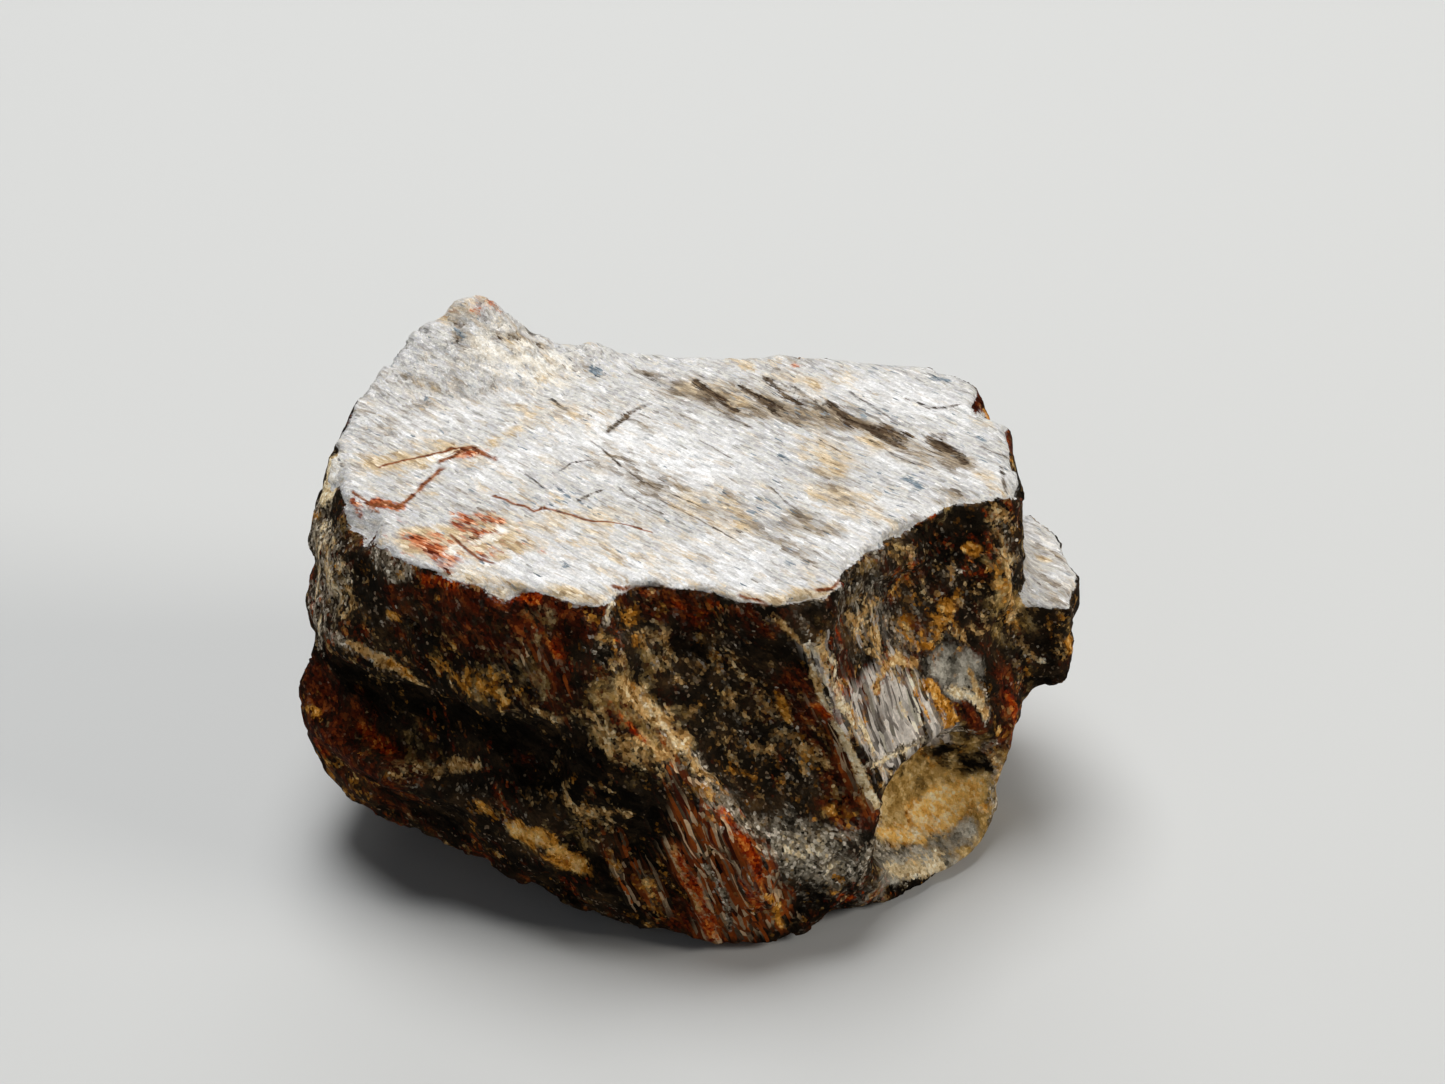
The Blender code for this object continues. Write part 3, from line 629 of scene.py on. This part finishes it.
def close_mesh():
    """A close, even mesh over the solid's surface."""
    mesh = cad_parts[NODE].data.copy()
    bm = bmesh.new()
    bm.from_mesh(mesh)
    bmesh.ops.remove_doubles(bm, verts=bm.verts, dist=WELD * MM)
    bm.to_mesh(mesh)
    bm.free()
    mesh.materials.clear()
    crystal = new_object("tantalite_surface", mesh)
    modifier = crystal.modifiers.new("Close mesh", "REMESH")
    modifier.mode = "VOXEL"
    modifier.voxel_size = MESH_STEP * MM
    bpy.context.view_layer.update()
    graph = bpy.context.evaluated_depsgraph_get()
    crystal.data = bpy.data.meshes.new_from_object(crystal.evaluated_get(graph))
    crystal.modifiers.clear()
    crystal.data.name = crystal.name
    crystal.data.shade_smooth()
    points, _ = mesh_arrays(crystal)
    set_points(crystal, smoothed(crystal, points, SMOOTH_ROUNDS))
    return crystal


def distance_to(points, route):
    """Distance from each point to a route."""
    nearest = np.full(len(points), np.inf)
    for start, end in zip(route[:-1], route[1:]):
        along = end - start
        share = np.clip((points - start) @ along / max(along @ along, TINY), 0.0, 1.0)
        gap = points - start - share[:, None] * along
        nearest = np.minimum(nearest, np.sqrt((gap * gap).sum(axis=1)))
    return nearest


def cast_route(camera, tree, pixels):
    """The points of the crystal's surface under a route over the photograph, in millimetres."""
    width, height = PHOTO_SIZE
    focal = width * LENS / SENSOR
    eye = camera.matrix_world.translation
    turn = camera.matrix_world.to_3x3()
    found = []
    for start, end in zip(pixels[:-1], pixels[1:]):
        start, end = np.array(start, float), np.array(end, float)
        steps = max(1, int(np.linalg.norm(end - start) / PIXEL_STEP))
        for step in range(steps + 1):
            column, row = start + (end - start) * step / steps
            ray = turn @ Vector(((column - width / 2) / focal, (height / 2 - row) / focal, -1.0))
            hit = tree.ray_cast(eye, ray.normalized())[0]
            if hit is not None:
                found.append(np.array(hit) / MM)
    return found


def paint(camera, tree, points, normals):
    """The share of each kind of marking at each point of the crystal."""
    sight = np.array(camera.matrix_world.to_3x3().col[2])
    hidden = smooth_step(0.5 - TURNED_AWAY * normals @ sight)
    wander = WANDER * np.array([noise_at(points, WANDER_SIZE, offset) for offset in WANDER_OFFSETS]).T
    shares = {}
    for number, (kind, marks) in enumerate(MARKS.items()):
        least, swing = STRAY.get(kind, (0.0, 0.0))
        share = np.full(len(points), least)
        if swing:
            stray = noise_at(points, STRAY_SIZE, STRAY_APART * number)
            share += swing * smooth_step(stray * STRAY_CONTRAST)
        if kind in HIDDEN:
            stain = noise_at(points, HIDDEN_SIZE, HIDDEN_APART * number + HIDDEN_OFFSET)
            share = np.maximum(share, HIDDEN[kind] * smooth_step(HIDDEN_CONTRAST * stain - 0.5) * hidden)
        for name, (half_way, strength, *pixels) in marks.items():
            route = cast_route(camera, tree, pixels)
            if len(route) < 2:
                print(f"marking {name} misses the crystal")
                continue
            wandering = points + wander * min(1.0, half_way / WANDER_FROM)
            near = smooth_step(1.0 - distance_to(wandering, route) / (2.0 * half_way))
            share = np.maximum(share, strength * near)
        shares[kind] = share
    return shares


def draw_lines(camera, tree, points, lines):
    """For thin lines of the top: how far to the side of the nearest one each point lies, in half widths,
    and whether it is near enough to count."""
    drift = np.array([noise_at(points, LINE_WANDER_SIZE, offset) for offset in LINE_OFFSETS]).T
    level = points[:, :2] + LINE_WANDER * drift
    side = np.full(len(points), FAR_ASIDE)
    reach = np.zeros(len(points))
    nearest = np.full(len(points), np.inf)
    for half_width, *pixels in lines.values():
        route = [point[:2] for point in cast_route(camera, tree, pixels)]
        for index, (start, end) in enumerate(zip(route[:-1], route[1:])):
            along = end - start
            length = max(np.linalg.norm(along), TINY)
            along = along / length
            offset = level - start
            run = offset @ along
            cross = offset[:, 0] * along[1] - offset[:, 1] * along[0]
            distance = np.linalg.norm(offset - np.clip(run, 0.0, length)[:, None] * along, axis=1)
            # How far past the line's first or last point each point lies
            past = np.zeros(len(points))
            if index == 0:
                past = np.maximum(past, -run)
            if index == len(route) - 2:
                past = np.maximum(past, run - length)
            closer = (distance < nearest) & (points[:, 2] > TOP_RISE[0])
            nearest[closer] = distance[closer]
            side[closer] = (np.where(cross < 0.0, -distance, distance) / half_width)[closer]
            fade = smooth_step(2.0 - 2.0 * distance / LINE_REACH) * smooth_step(1.0 - past / LINE_END)
            reach[closer] = fade[closer]
    return side, reach


def store(obj, name, values):
    """Keep a value for each point of a mesh, for its material."""
    attribute = obj.data.attributes.new(name, "FLOAT", "POINT")
    attribute.data.foreach_set("value", values.astype(np.float32))


def facet_relief(points, size, offset=0.0):
    """Small flat chips, each with its own height and tilt."""
    heights = np.empty(len(points))
    shift = Vector((offset, -offset, 2.0 * offset))
    for index, point in enumerate(points):
        place = Vector(point) / size + shift
        centre = noise.voronoi(place)[1][0]
        seed = centre * CHIP_SPREAD
        tilt = Vector([noise.noise(seed + apart) for apart in TILT_OFFSETS])
        heights[index] = noise.noise(seed) + (place - centre).dot(tilt)
    return heights


def fine_relief(crystal, points, silver, shares):
    """Height of the fine relief at each point."""
    fibre = shares["fibre"]
    facets = facet_relief(points, FACET_SIZE)
    broken = CHIP_HEIGHT * facet_relief(points, CHIP_SIZE, CHIP_OFFSET) + FACET_HEIGHT * facets
    broken += GRAIN_HEIGHT * noise_at(points, GRAIN_SIZE)
    splinters = grain_relief(points, *SPLINTERS) * fibre
    relief = (broken * (1.0 - FIBRE_CALM * fibre) + splinters) * (1.0 - silver) * (1.0 - shares["smooth"])
    relief += grain_relief(points, *RIDGES) * shares["striae"]
    relief += grain_relief(points, *STRIATIONS) * silver
    relief += PEAK_CHIP_HEIGHT * facets * smooth_step(points[:, 2], *PEAK_RISE) * silver
    for place, radius, height in SWELLS.values():
        away = np.linalg.norm(points[:, :2] - np.array(place), axis=1)
        relief += height * smooth_step(1.0 - away / radius) * silver
    relief -= GROOVE_DEPTH * shares["groove"] * silver
    relief += CRUST_HEIGHT * shares["sand"] * noise_at(points, GRAIN_SIZE, CRUST_OFFSET) * (1.0 - silver)
    # The rim is where the evened silver is about a half, and 4 times this product is 1 there
    broad = smoothed(crystal, silver, BROAD_ROUNDS)
    rim = 4.0 * broad * (1.0 - broad)
    relief -= RIM_CHIP_DEPTH * rim * np.clip(facet_relief(points, RIM_CHIP_SIZE, RIM_OFFSET), 0.0, 1.0)
    return relief


def linear(code):
    """An sRGB hex colour as linear red, green, blue and alpha."""
    parts = [int(code[index : index + 2], 16) / 255.0 for index in (1, 3, 5)]
    bent = [part / 12.92 if part <= 0.04045 else ((part + 0.055) / 1.055) ** 2.4 for part in parts]
    return (*bent, 1.0)


def add(tree, kind, links=None, **settings):
    """Add a shader node. The settings are its own properties, and links gives its inputs, by name or by
    place, a value, another node's output, or a node, which stands for its first output."""
    node = tree.nodes.new("ShaderNode" + kind)
    for name, value in settings.items():
        setattr(node, name, value)
    for socket, source in (links or {}).items():
        if isinstance(source, bpy.types.Node):
            source = source.outputs[0]
        if isinstance(source, bpy.types.NodeSocket):
            tree.links.new(source, node.inputs[socket])
        else:
            node.inputs[socket].default_value = source
    return node


def set_stops(ramp, codes, first=0.37, last=0.63):
    """Give a colour ramp its hex colours, from dark to light, evenly between two places."""
    elements = ramp.color_ramp.elements
    while len(elements) < len(codes):
        elements.new(0.5)
    for index, (element, code) in enumerate(zip(elements, codes)):
        element.position = first + (last - first) * index / (len(codes) - 1)
        element.color = linear(code)


# The mosaic of grains: their direction and, in millimetres, their length and width. The real ones are
# finer, and these are drawn as coarse as they need to be to show.
GRAINS = {
    "front": (FRONT_GRAIN, 0.1, 0.08),
    "left": (LEFT_GRAIN, 0.14, 0.075),
    "bundle": (BUNDLE_GRAIN, 1.5, 0.1),
    "chute": (CHUTE_GRAIN, 1.1, 0.12),
    "top": (TOP_GRAIN, 0.26, 0.055),
}

# The splinters are dark, red, dark, pale and dark red again
SPLINTER_COLOURS = ("#0d0604", "#5a2210", "#a04e1a", "#170c07", "#e6c49a", "#3c1c0e")

# The layers of colour over the fresh break, from the lowest up. Each has the grains it is made of, the
# length and width in millimetres of its widest streaks, how soft the edges of its patches are, its colours
# from dark to light, its roughness and its metallic value.
LAYERS = {
    "red": ("front", 1.3, 0.6, 0.7, ("#140804", "#361307", "#5e220c", "#8e481b"), 0.7, 0.0),
    "umber": ("front", 1.2, 0.8, 0.6, ("#86652f", "#bc9655", "#e8ca90"), 0.7, 0.0),
    # haze: dull grey, with a painted sheen on the foot ledge
    "haze": ("front", 1.0, 0.3, 0.8, ("#14110c", "#564e41", "#a39986", "#f5ead7"), 0.4, 0.1),
    "slate": ("front", 1.4, 0.8, 0.7, ("#524e44", "#948e80", "#d0c9b9"), 0.4, 0.0),
    # shade: painted shade in hollows, under overhangs and below, and dark grains
    "shade": ("left", 1.6, 0.7, 0.6, ("#080604", "#120e09", "#231b12"), 0.9, 0.0),
    "splinter": ("bundle", 4.0, 0.34, 0.5, SPLINTER_COLOURS, 0.45, 0.0),
    "striae": ("chute", 3.0, 0.3, 0.5, ("#1c1611", "#8c8279", "#efe5d9", "#3c332c", "#fff6de"), 0.3, 0.2),
    # grey: pale crust, and painted glints and highlights on edges and the left corner
    "grey": ("front", 0.5, 0.3, 0.35, ("#1e1811", "#5c5040", "#a0927c", "#f4ead8"), 0.4, 0.15),
    "sand": ("front", 0.8, 0.45, 0.4, ("#5a3d1a", "#ae8148", "#deb678", "#f8dfae"), 0.8, 0.0),
    "ochre": ("front", 0.8, 0.5, 0.4, ("#5c3609", "#a96a1c", "#dc9a40", "#f5cb80"), 0.8, 0.0),
    "honey": ("front", 0.9, 0.6, 0.8, ("#dc9c48", "#fcca70", "#ffeabc"), 0.7, 0.0),
    # pale: pale crust, and a painted highlight along some edges
    "pale": ("front", 0.5, 0.3, 0.4, ("#ac8e60", "#ecd5a8", "#fff5dc"), 0.6, 0.0),
    "ember": ("front", 1.2, 0.35, 0.6, ("#340a00", "#7c1e02", "#b24408", "#de8a3c"), 0.45, 0.0),
    # silver: the cleaved face's light colour is a painted sheen, standing in for the lights it reflects
    "silver": ("top", 1.2, 0.3, 0.12, ("#9b9992", "#b9b6b7", "#d5d3cb", "#c8c8cb", "#f0eeec"), 0.4, 0.35),
    # bright: a painted highlight over the silver
    "bright": ("top", 1.1, 0.4, 0.8, ("#d0cfce", "#ebeae9", "#ffffff"), 0.34, 0.3),
    "taupe": ("top", 1.3, 0.4, 0.7, ("#57493a", "#8a7b67", "#bbac94"), 0.5, 0.15),
    "tan": ("top", 1.0, 0.45, 0.7, ("#9a8262", "#d0b994", "#f2e5cd"), 0.6, 0.1),
    "rust": ("top", 0.6, 0.36, 0.5, ("#48190b", "#8a3d1f", "#c8774c", "#f4c29c"), 0.5, 0.0),
    "speck": ("top", 0.3, 0.22, 0.3, ("#3a4650", "#6a7984", "#9ca8b0"), 0.3, 0.3),
    "groove": ("top", 1.4, 0.26, 0.4, ("#1d150c", "#49382a", "#8a765c"), 0.6, 0.1),
    "cream": ("top", 0.8, 0.4, 0.5, ("#d8cebc", "#f2ece0", "#fffdf8"), 0.6, 0.0),
}

# How far apart the noises of two layers lie, and those of a layer's patches and colours, how large the
# colours' streaks are beside the patches', and the share from which a layer can show in full
LAYER_APART = 3.1
TONE_APART = 100.0
TONE_SIZE = 0.5
LEAST_SHARE = 0.05

# Fresh break, from its darkest grains to its lightest, and the size of its swells in millimetres
BREAK_COLOURS = ("#110e0a", "#1b160f", "#292016", "#3e2e1d", "#62492a")
BREAK_STOPS = (0.36, 0.72)
BREAK_SIZE = 1.2

# Its few glinting grains: which of all chance values glint, and how the finish goes from dull to glint
GLINT = "#7d6a55"
GLINT_RANGE = {"From Min": 0.965, "From Max": 0.985}
GLINT_ROUGHNESS = {"To Min": 0.72, "To Max": 0.3}
GLINT_METALLIC = {"To Min": 0.0, "To Max": 0.6}

# Tantalite's own IOR is 2.3, but the pores and dust of the break scatter nearly all of that shine, and the
# photograph shows its dark grains without any
IOR = 1.08

# Thin lines: their colours, dark to light, the size in millimetres over which their edges are ragged, how
# far these fray and where they fade in half widths, and the fibres that break up the slits
LINE_COLOURS = {"streak": ("#2c2218", "#6e5e4c"), "crack": ("#4a200f", "#a4643c")}
RAG_SIZE = 0.3
RAG_SWING = {"To Min": -0.9, "To Max": 0.9}
LINE_EDGE = {"From Min": 1.9, "From Max": 0.3}
SLIT_FIBRES = (0.9, 0.1, 57.0)
SLIT_GAPS = {"From Min": 0.42, "From Max": 0.56, "To Min": 0.3, "To Max": 1.0}

# Size in millimetres and amount of the sway in the grain's direction
SWAY_SIZE = 2.2
SWAY = (0.3, 0.3, 0.3)

# The fine grain: its size and its bump's height in millimetres, how dark and light it gets, and how far
# each grain is tilted. It too is drawn as coarse as it needs to be to show.
FINE_SIZE = 0.12
FINE_HEIGHT = 0.08
FINE_LIFT = {"To Min": 0.75, "To Max": 1.25}
GRAIN_TILT = 0.2

# Nearly all values of a noise lie between these
NOISE_RANGE = {"From Min": 0.3, "From Max": 0.7}

# Places of a Mix node's two colours among its inputs, and of the mixed one among its outputs
COLOUR_A = 6
COLOUR_B = 7
MIXED = 2


def layer_mask(tree, specks, share, softness):
    """Where a layer lies: its specks grow as its share does, from none at 0 to all of the surface at 1."""
    even = add(tree, "MapRange", {"Value": specks, **NOISE_RANGE}, clamp=False)
    both = add(tree, "Math", {0: even, 1: share}, operation="ADD")
    edge = {"Value": both, "From Min": 1.0 - softness / 2.0, "From Max": 1.0 + softness / 2.0}
    mask = add(tree, "MapRange", edge, interpolation_type="SMOOTHSTEP")
    painted = add(tree, "MapRange", {"Value": share, "From Max": LEAST_SHARE})
    return add(tree, "Math", {0: mask, 1: painted}, operation="MULTIPLY")


def lay_over(tree, colour, mask, noises, codes):
    """A colour with others laid over it where the mask is, which go from dark to light as the noises do."""
    ramp = add(tree, "ValToRGB", {"Fac": noises})
    set_stops(ramp, codes)
    blend = {"Factor": mask, COLOUR_A: colour, COLOUR_B: ramp}
    return add(tree, "Mix", blend, data_type="RGBA").outputs[MIXED]


def lie_along(grain, length, width):
    """Settings that turn a pattern along the grain and give it its size."""
    return {"Rotation": grain.to_track_quat("X", "Z").to_euler(), "Scale": (length, width, width)}


def mosaic(tree, place, grain, length, width):
    """Grains drawn out along a direction: the middle of the one each place is in, and its chance colour."""
    lie = lie_along(grain, length, width)
    local = add(tree, "Mapping", {"Vector": place, **lie}, vector_type="TEXTURE")
    cells = add(tree, "TexVoronoi", {"Vector": local, "Scale": 1.0})
    middle = add(tree, "Mapping", {"Vector": cells.outputs["Position"], **lie}, vector_type="POINT")
    return middle, cells.outputs["Color"]


def streaks(tree, place, grain, length, width, shift):
    """Noise in streaks of the given size along the grain, with finer ones in them."""
    lie = {"Vector": place, "Location": (shift, 0.0, 0.0), **lie_along(grain, length, width)}
    local = add(tree, "Mapping", lie, vector_type="TEXTURE")
    return add(tree, "TexNoise", {"Vector": local, "Scale": 1.0, "Detail": 4.0, "Roughness": 0.75})


def fresh_break(tree, middle, chance):
    """The break's colour, roughness and metallic value: darker and lighter in swells, with a few glints."""
    swells = {"Vector": middle, "Scale": 1.0 / BREAK_SIZE, "Detail": 6.0, "Roughness": 0.7}
    ramp = add(tree, "ValToRGB", {"Fac": add(tree, "TexNoise", swells)})
    set_stops(ramp, BREAK_COLOURS, *BREAK_STOPS)
    shine = add(tree, "SeparateColor", {"Color": chance}).outputs["Blue"]
    glint = add(tree, "MapRange", {"Value": shine, **GLINT_RANGE})
    blend = {"Factor": glint, COLOUR_A: ramp, COLOUR_B: linear(GLINT)}
    colour = add(tree, "Mix", blend, data_type="RGBA").outputs[MIXED]
    roughness = add(tree, "MapRange", {"Value": glint, **GLINT_ROUGHNESS})
    metallic = add(tree, "MapRange", {"Value": glint, **GLINT_METALLIC})
    return colour, roughness, metallic


def thin_lines(tree, middle, colour, metallic):
    """Cracks and slits of the top, with ragged edges, and the slits broken up by the fibres."""
    coarse = {"Vector": middle, "Scale": 1.0 / RAG_SIZE, "Detail": 3.0, "Roughness": 0.7}
    ragged = add(tree, "TexNoise", coarse)
    fray = add(tree, "MapRange", {"Value": ragged, **NOISE_RANGE, **RAG_SWING}, clamp=False)
    fibres = streaks(tree, middle, TOP_GRAIN, *SLIT_FIBRES)
    gaps = add(tree, "MapRange", {"Value": fibres, **SLIT_GAPS})
    for name, codes in LINE_COLOURS.items():
        side = add(tree, "Attribute", attribute_name=f"{name}_side").outputs["Fac"]
        reach = add(tree, "Attribute", attribute_name=f"{name}_reach").outputs["Fac"]
        away = add(tree, "Math", {0: side}, operation="ABSOLUTE")
        away = add(tree, "Math", {0: away, 1: fray}, operation="ADD")
        mask = add(tree, "MapRange", {"Value": away, **LINE_EDGE}, interpolation_type="SMOOTHSTEP")
        mask = add(tree, "Math", {0: mask, 1: reach}, operation="MULTIPLY")
        if name == "streak":
            mask = add(tree, "Math", {0: mask, 1: gaps}, operation="MULTIPLY")
        colour = lay_over(tree, colour, mask, ragged, codes)
        metallic = add(tree, "Mix", {"Factor": mask, "A": metallic, "B": 0.0})
    return colour, metallic


def fine_grain(tree, place, chance, colour):
    """Fine grain of the whole surface: every grain a little lighter or darker, and tilted its own way."""
    grains = {"Vector": place, "Scale": 1.0 / FINE_SIZE, "Detail": 4.0, "Roughness": 0.8}
    fine = add(tree, "TexNoise", grains)
    lift = add(tree, "MapRange", {"Value": fine, **NOISE_RANGE, **FINE_LIFT}, clamp=False)
    colour = add(tree, "VectorMath", {0: colour, "Scale": lift}, operation="SCALE")
    bump = add(tree, "Bump", {"Height": fine, "Strength": 0.8, "Distance": FINE_HEIGHT * MM})
    tilt = add(tree, "VectorMath", {0: chance, 1: (0.5, 0.5, 0.5)}, operation="SUBTRACT")
    tilt = add(tree, "VectorMath", {0: tilt, "Scale": GRAIN_TILT}, operation="SCALE")
    tilted = add(tree, "VectorMath", {0: bump, 1: tilt}, operation="ADD")
    return colour, add(tree, "VectorMath", {0: tilted}, operation="NORMALIZE")


def tantalite():
    """Tantalite, cleaved and broken: dull dark brown where it broke, with a silvery sheen where it cleaved,
    which the lights give in part and its painted light colour in the rest. Painted shade darkens its hollows
    and undersides, and painted highlights lighten some edges.

    Iron stains it ochre and red, and the noises break each painted share up into specks of its grain.
    """
    material = bpy.data.materials.new("Tantalite, cleaved and broken")
    material.use_nodes = True
    tree = material.node_tree
    tree.nodes.clear()
    place = add(tree, "TexCoord").outputs["Object"]
    place = add(tree, "VectorMath", {0: place, "Scale": 1.0 / MM}, operation="SCALE")

    # The grain bends a little from place to place
    sway = add(tree, "TexNoise", {"Vector": place, "Scale": 1.0 / SWAY_SIZE, "Detail": 2.0})
    bend = {0: sway.outputs["Color"], 1: SWAY, 2: place}
    bent = add(tree, "VectorMath", bend, operation="MULTIPLY_ADD")
    mosaics = {name: mosaic(tree, bent, *lie) for name, lie in GRAINS.items()}

    colour, roughness, metallic = fresh_break(tree, *mosaics["front"])
    for number, (name, layer) in enumerate(LAYERS.items()):
        grains, length, width, softness, codes, layer_roughness, layer_metallic = layer
        grain, middle = GRAINS[grains][0], mosaics[grains][0]
        shift = LAYER_APART * number
        share = add(tree, "Attribute", attribute_name=name).outputs["Fac"]
        patches = streaks(tree, middle, grain, length, width, shift)
        mask = layer_mask(tree, patches, share, softness)
        tone = streaks(tree, middle, grain, TONE_SIZE * length, TONE_SIZE * width, TONE_APART + shift)
        colour = lay_over(tree, colour, mask, tone, codes)
        roughness = add(tree, "Mix", {"Factor": mask, "A": roughness, "B": layer_roughness})
        metallic = add(tree, "Mix", {"Factor": mask, "A": metallic, "B": layer_metallic})

    colour, metallic = thin_lines(tree, mosaics["top"][0], colour, metallic)
    silver = add(tree, "Attribute", attribute_name="silver").outputs["Fac"]
    blend = {"Factor": silver, COLOUR_A: mosaics["front"][1], COLOUR_B: mosaics["top"][1]}
    chance = add(tree, "Mix", blend, data_type="RGBA").outputs[MIXED]
    colour, normal = fine_grain(tree, place, chance, colour)
    finish = {"Base Color": colour, "Roughness": roughness, "Metallic": metallic, "IOR": IOR}
    shader = add(tree, "BsdfPrincipled", {**finish, "Normal": normal})
    add(tree, "OutputMaterial", {"Surface": shader})
    return material


def cleaved_share(crystal, points, normals):
    """Where the crystal has its silvery cleaved face: the level tops, and the slopes of the peak."""
    upward = smoothed(crystal, normals[:, 2], BROAD_ROUNDS) + FRAY * noise_at(points, FRAY_SIZE, FRAY_OFFSET)
    top = smooth_step(points[:, 2], *TOP_RISE)
    ledge = smooth_step(points[:, 2], *LEDGE_RISE) * smooth_step(points[:, 0], *LEDGE_RIGHT)
    level = smooth_step(upward, *LEVEL) * np.maximum(top, ledge)
    peak = smooth_step(points[:, 2], *PEAK_RISE) * smooth_step(upward, *PEAK_LEVEL)
    return np.maximum(level, peak)


def dress_crystal(camera):
    """The crystal's fine surface, painted and in its material."""
    crystal = close_mesh()
    points, normals = mesh_arrays(crystal)
    silver = cleaved_share(crystal, points, normals)
    tree = BVHTree.FromObject(crystal, bpy.context.evaluated_depsgraph_get())
    shares = paint(camera, tree, points, normals)
    for kind, lines in LINES.items():
        side, reach = draw_lines(camera, tree, points, lines)
        store(crystal, f"{kind}_side", side)
        store(crystal, f"{kind}_reach", reach * silver)
    points += normals * fine_relief(crystal, points, silver, shares)[:, None]
    # No chip stands out of the flat that it rests on
    points[:, 2] = np.maximum(points[:, 2], 0.0)
    set_points(crystal, points)
    # The cleaved face, whose light colour is a painted sheen
    store(crystal, "silver", silver)
    for kind, share in shares.items():
        if kind in LAYERS:
            store(crystal, kind, share * silver if kind in ON_TOP else share)
    crystal.data.materials.append(tantalite())
    return crystal


# The floor of matt paper, which takes soft shadows and mirrors nothing: half its side in metres, how far
# it lies under the crystal in millimetres, and its finish
FLOOR_HALF = 2.0
FLOOR_DROP = 0.02
FLOOR_COLOUR = "#c4c5c4"
FLOOR_ROUGHNESS = 0.9

# The soft boxes: where each one is and what it shines at, how wide it is, its power in watts and its colour
LIGHTS = {
    "Top softbox": ((-30.0, 90.0, 320.0), (0.0, 0.0, 8.0), 200.0, 1.06, "#ffffff"),
    "Back softbox": ((0.0, 330.0, 220.0), (0.0, 0.0, 8.0), 260.0, 0.3, "#ffffff"),
    "Right softbox": ((320.0, -60.0, 190.0), (4.0, -2.0, 6.0), 140.0, 0.62, "#fffaf2"),
    "Left fill": ((-200.0, -220.0, 160.0), (0.0, 0.0, 6.0), 240.0, 0.05, "#f4f6ff"),
}
WORLD_COLOUR = "#dfe2e4"
WORLD_STRENGTH = 0.08


def studio():
    """A plain pale floor and plain soft light, mostly from above and behind."""
    bm = bmesh.new()
    bmesh.ops.create_grid(bm, x_segments=1, y_segments=1, size=FLOOR_HALF)
    mesh = bpy.data.meshes.new("floor")
    bm.to_mesh(mesh)
    bm.free()
    floor = new_object("floor", mesh)
    floor.location.z = -FLOOR_DROP * MM
    paper = bpy.data.materials.new("Pale paper, matt")
    paper.use_nodes = True
    shader = paper.node_tree.nodes["Principled BSDF"]
    shader.inputs["Base Color"].default_value = linear(FLOOR_COLOUR)
    shader.inputs["Roughness"].default_value = FLOOR_ROUGHNESS
    mesh.materials.append(paper)

    for name, (place, aim, size, power, code) in LIGHTS.items():
        data = bpy.data.lights.new(name, "AREA")
        data.shape = "DISK"
        data.size = size * MM
        data.energy = power
        data.color = linear(code)[:3]
        light = new_object(name, data)
        light.location = Vector(place) * MM
        light.rotation_euler = (Vector(place) - Vector(aim)).to_track_quat("Z", "Y").to_euler()

    world = bpy.data.worlds.new("Studio")
    bpy.context.scene.world = world
    world.use_nodes = True
    background = world.node_tree.nodes["Background"]
    background.inputs["Color"].default_value = linear(WORLD_COLOUR)
    background.inputs["Strength"].default_value = WORLD_STRENGTH
    bpy.context.scene.view_settings.view_transform = "Standard"


camera = photo_camera()
crystal = dress_crystal(camera)
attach(crystal, "root")
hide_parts(NODE)
studio()
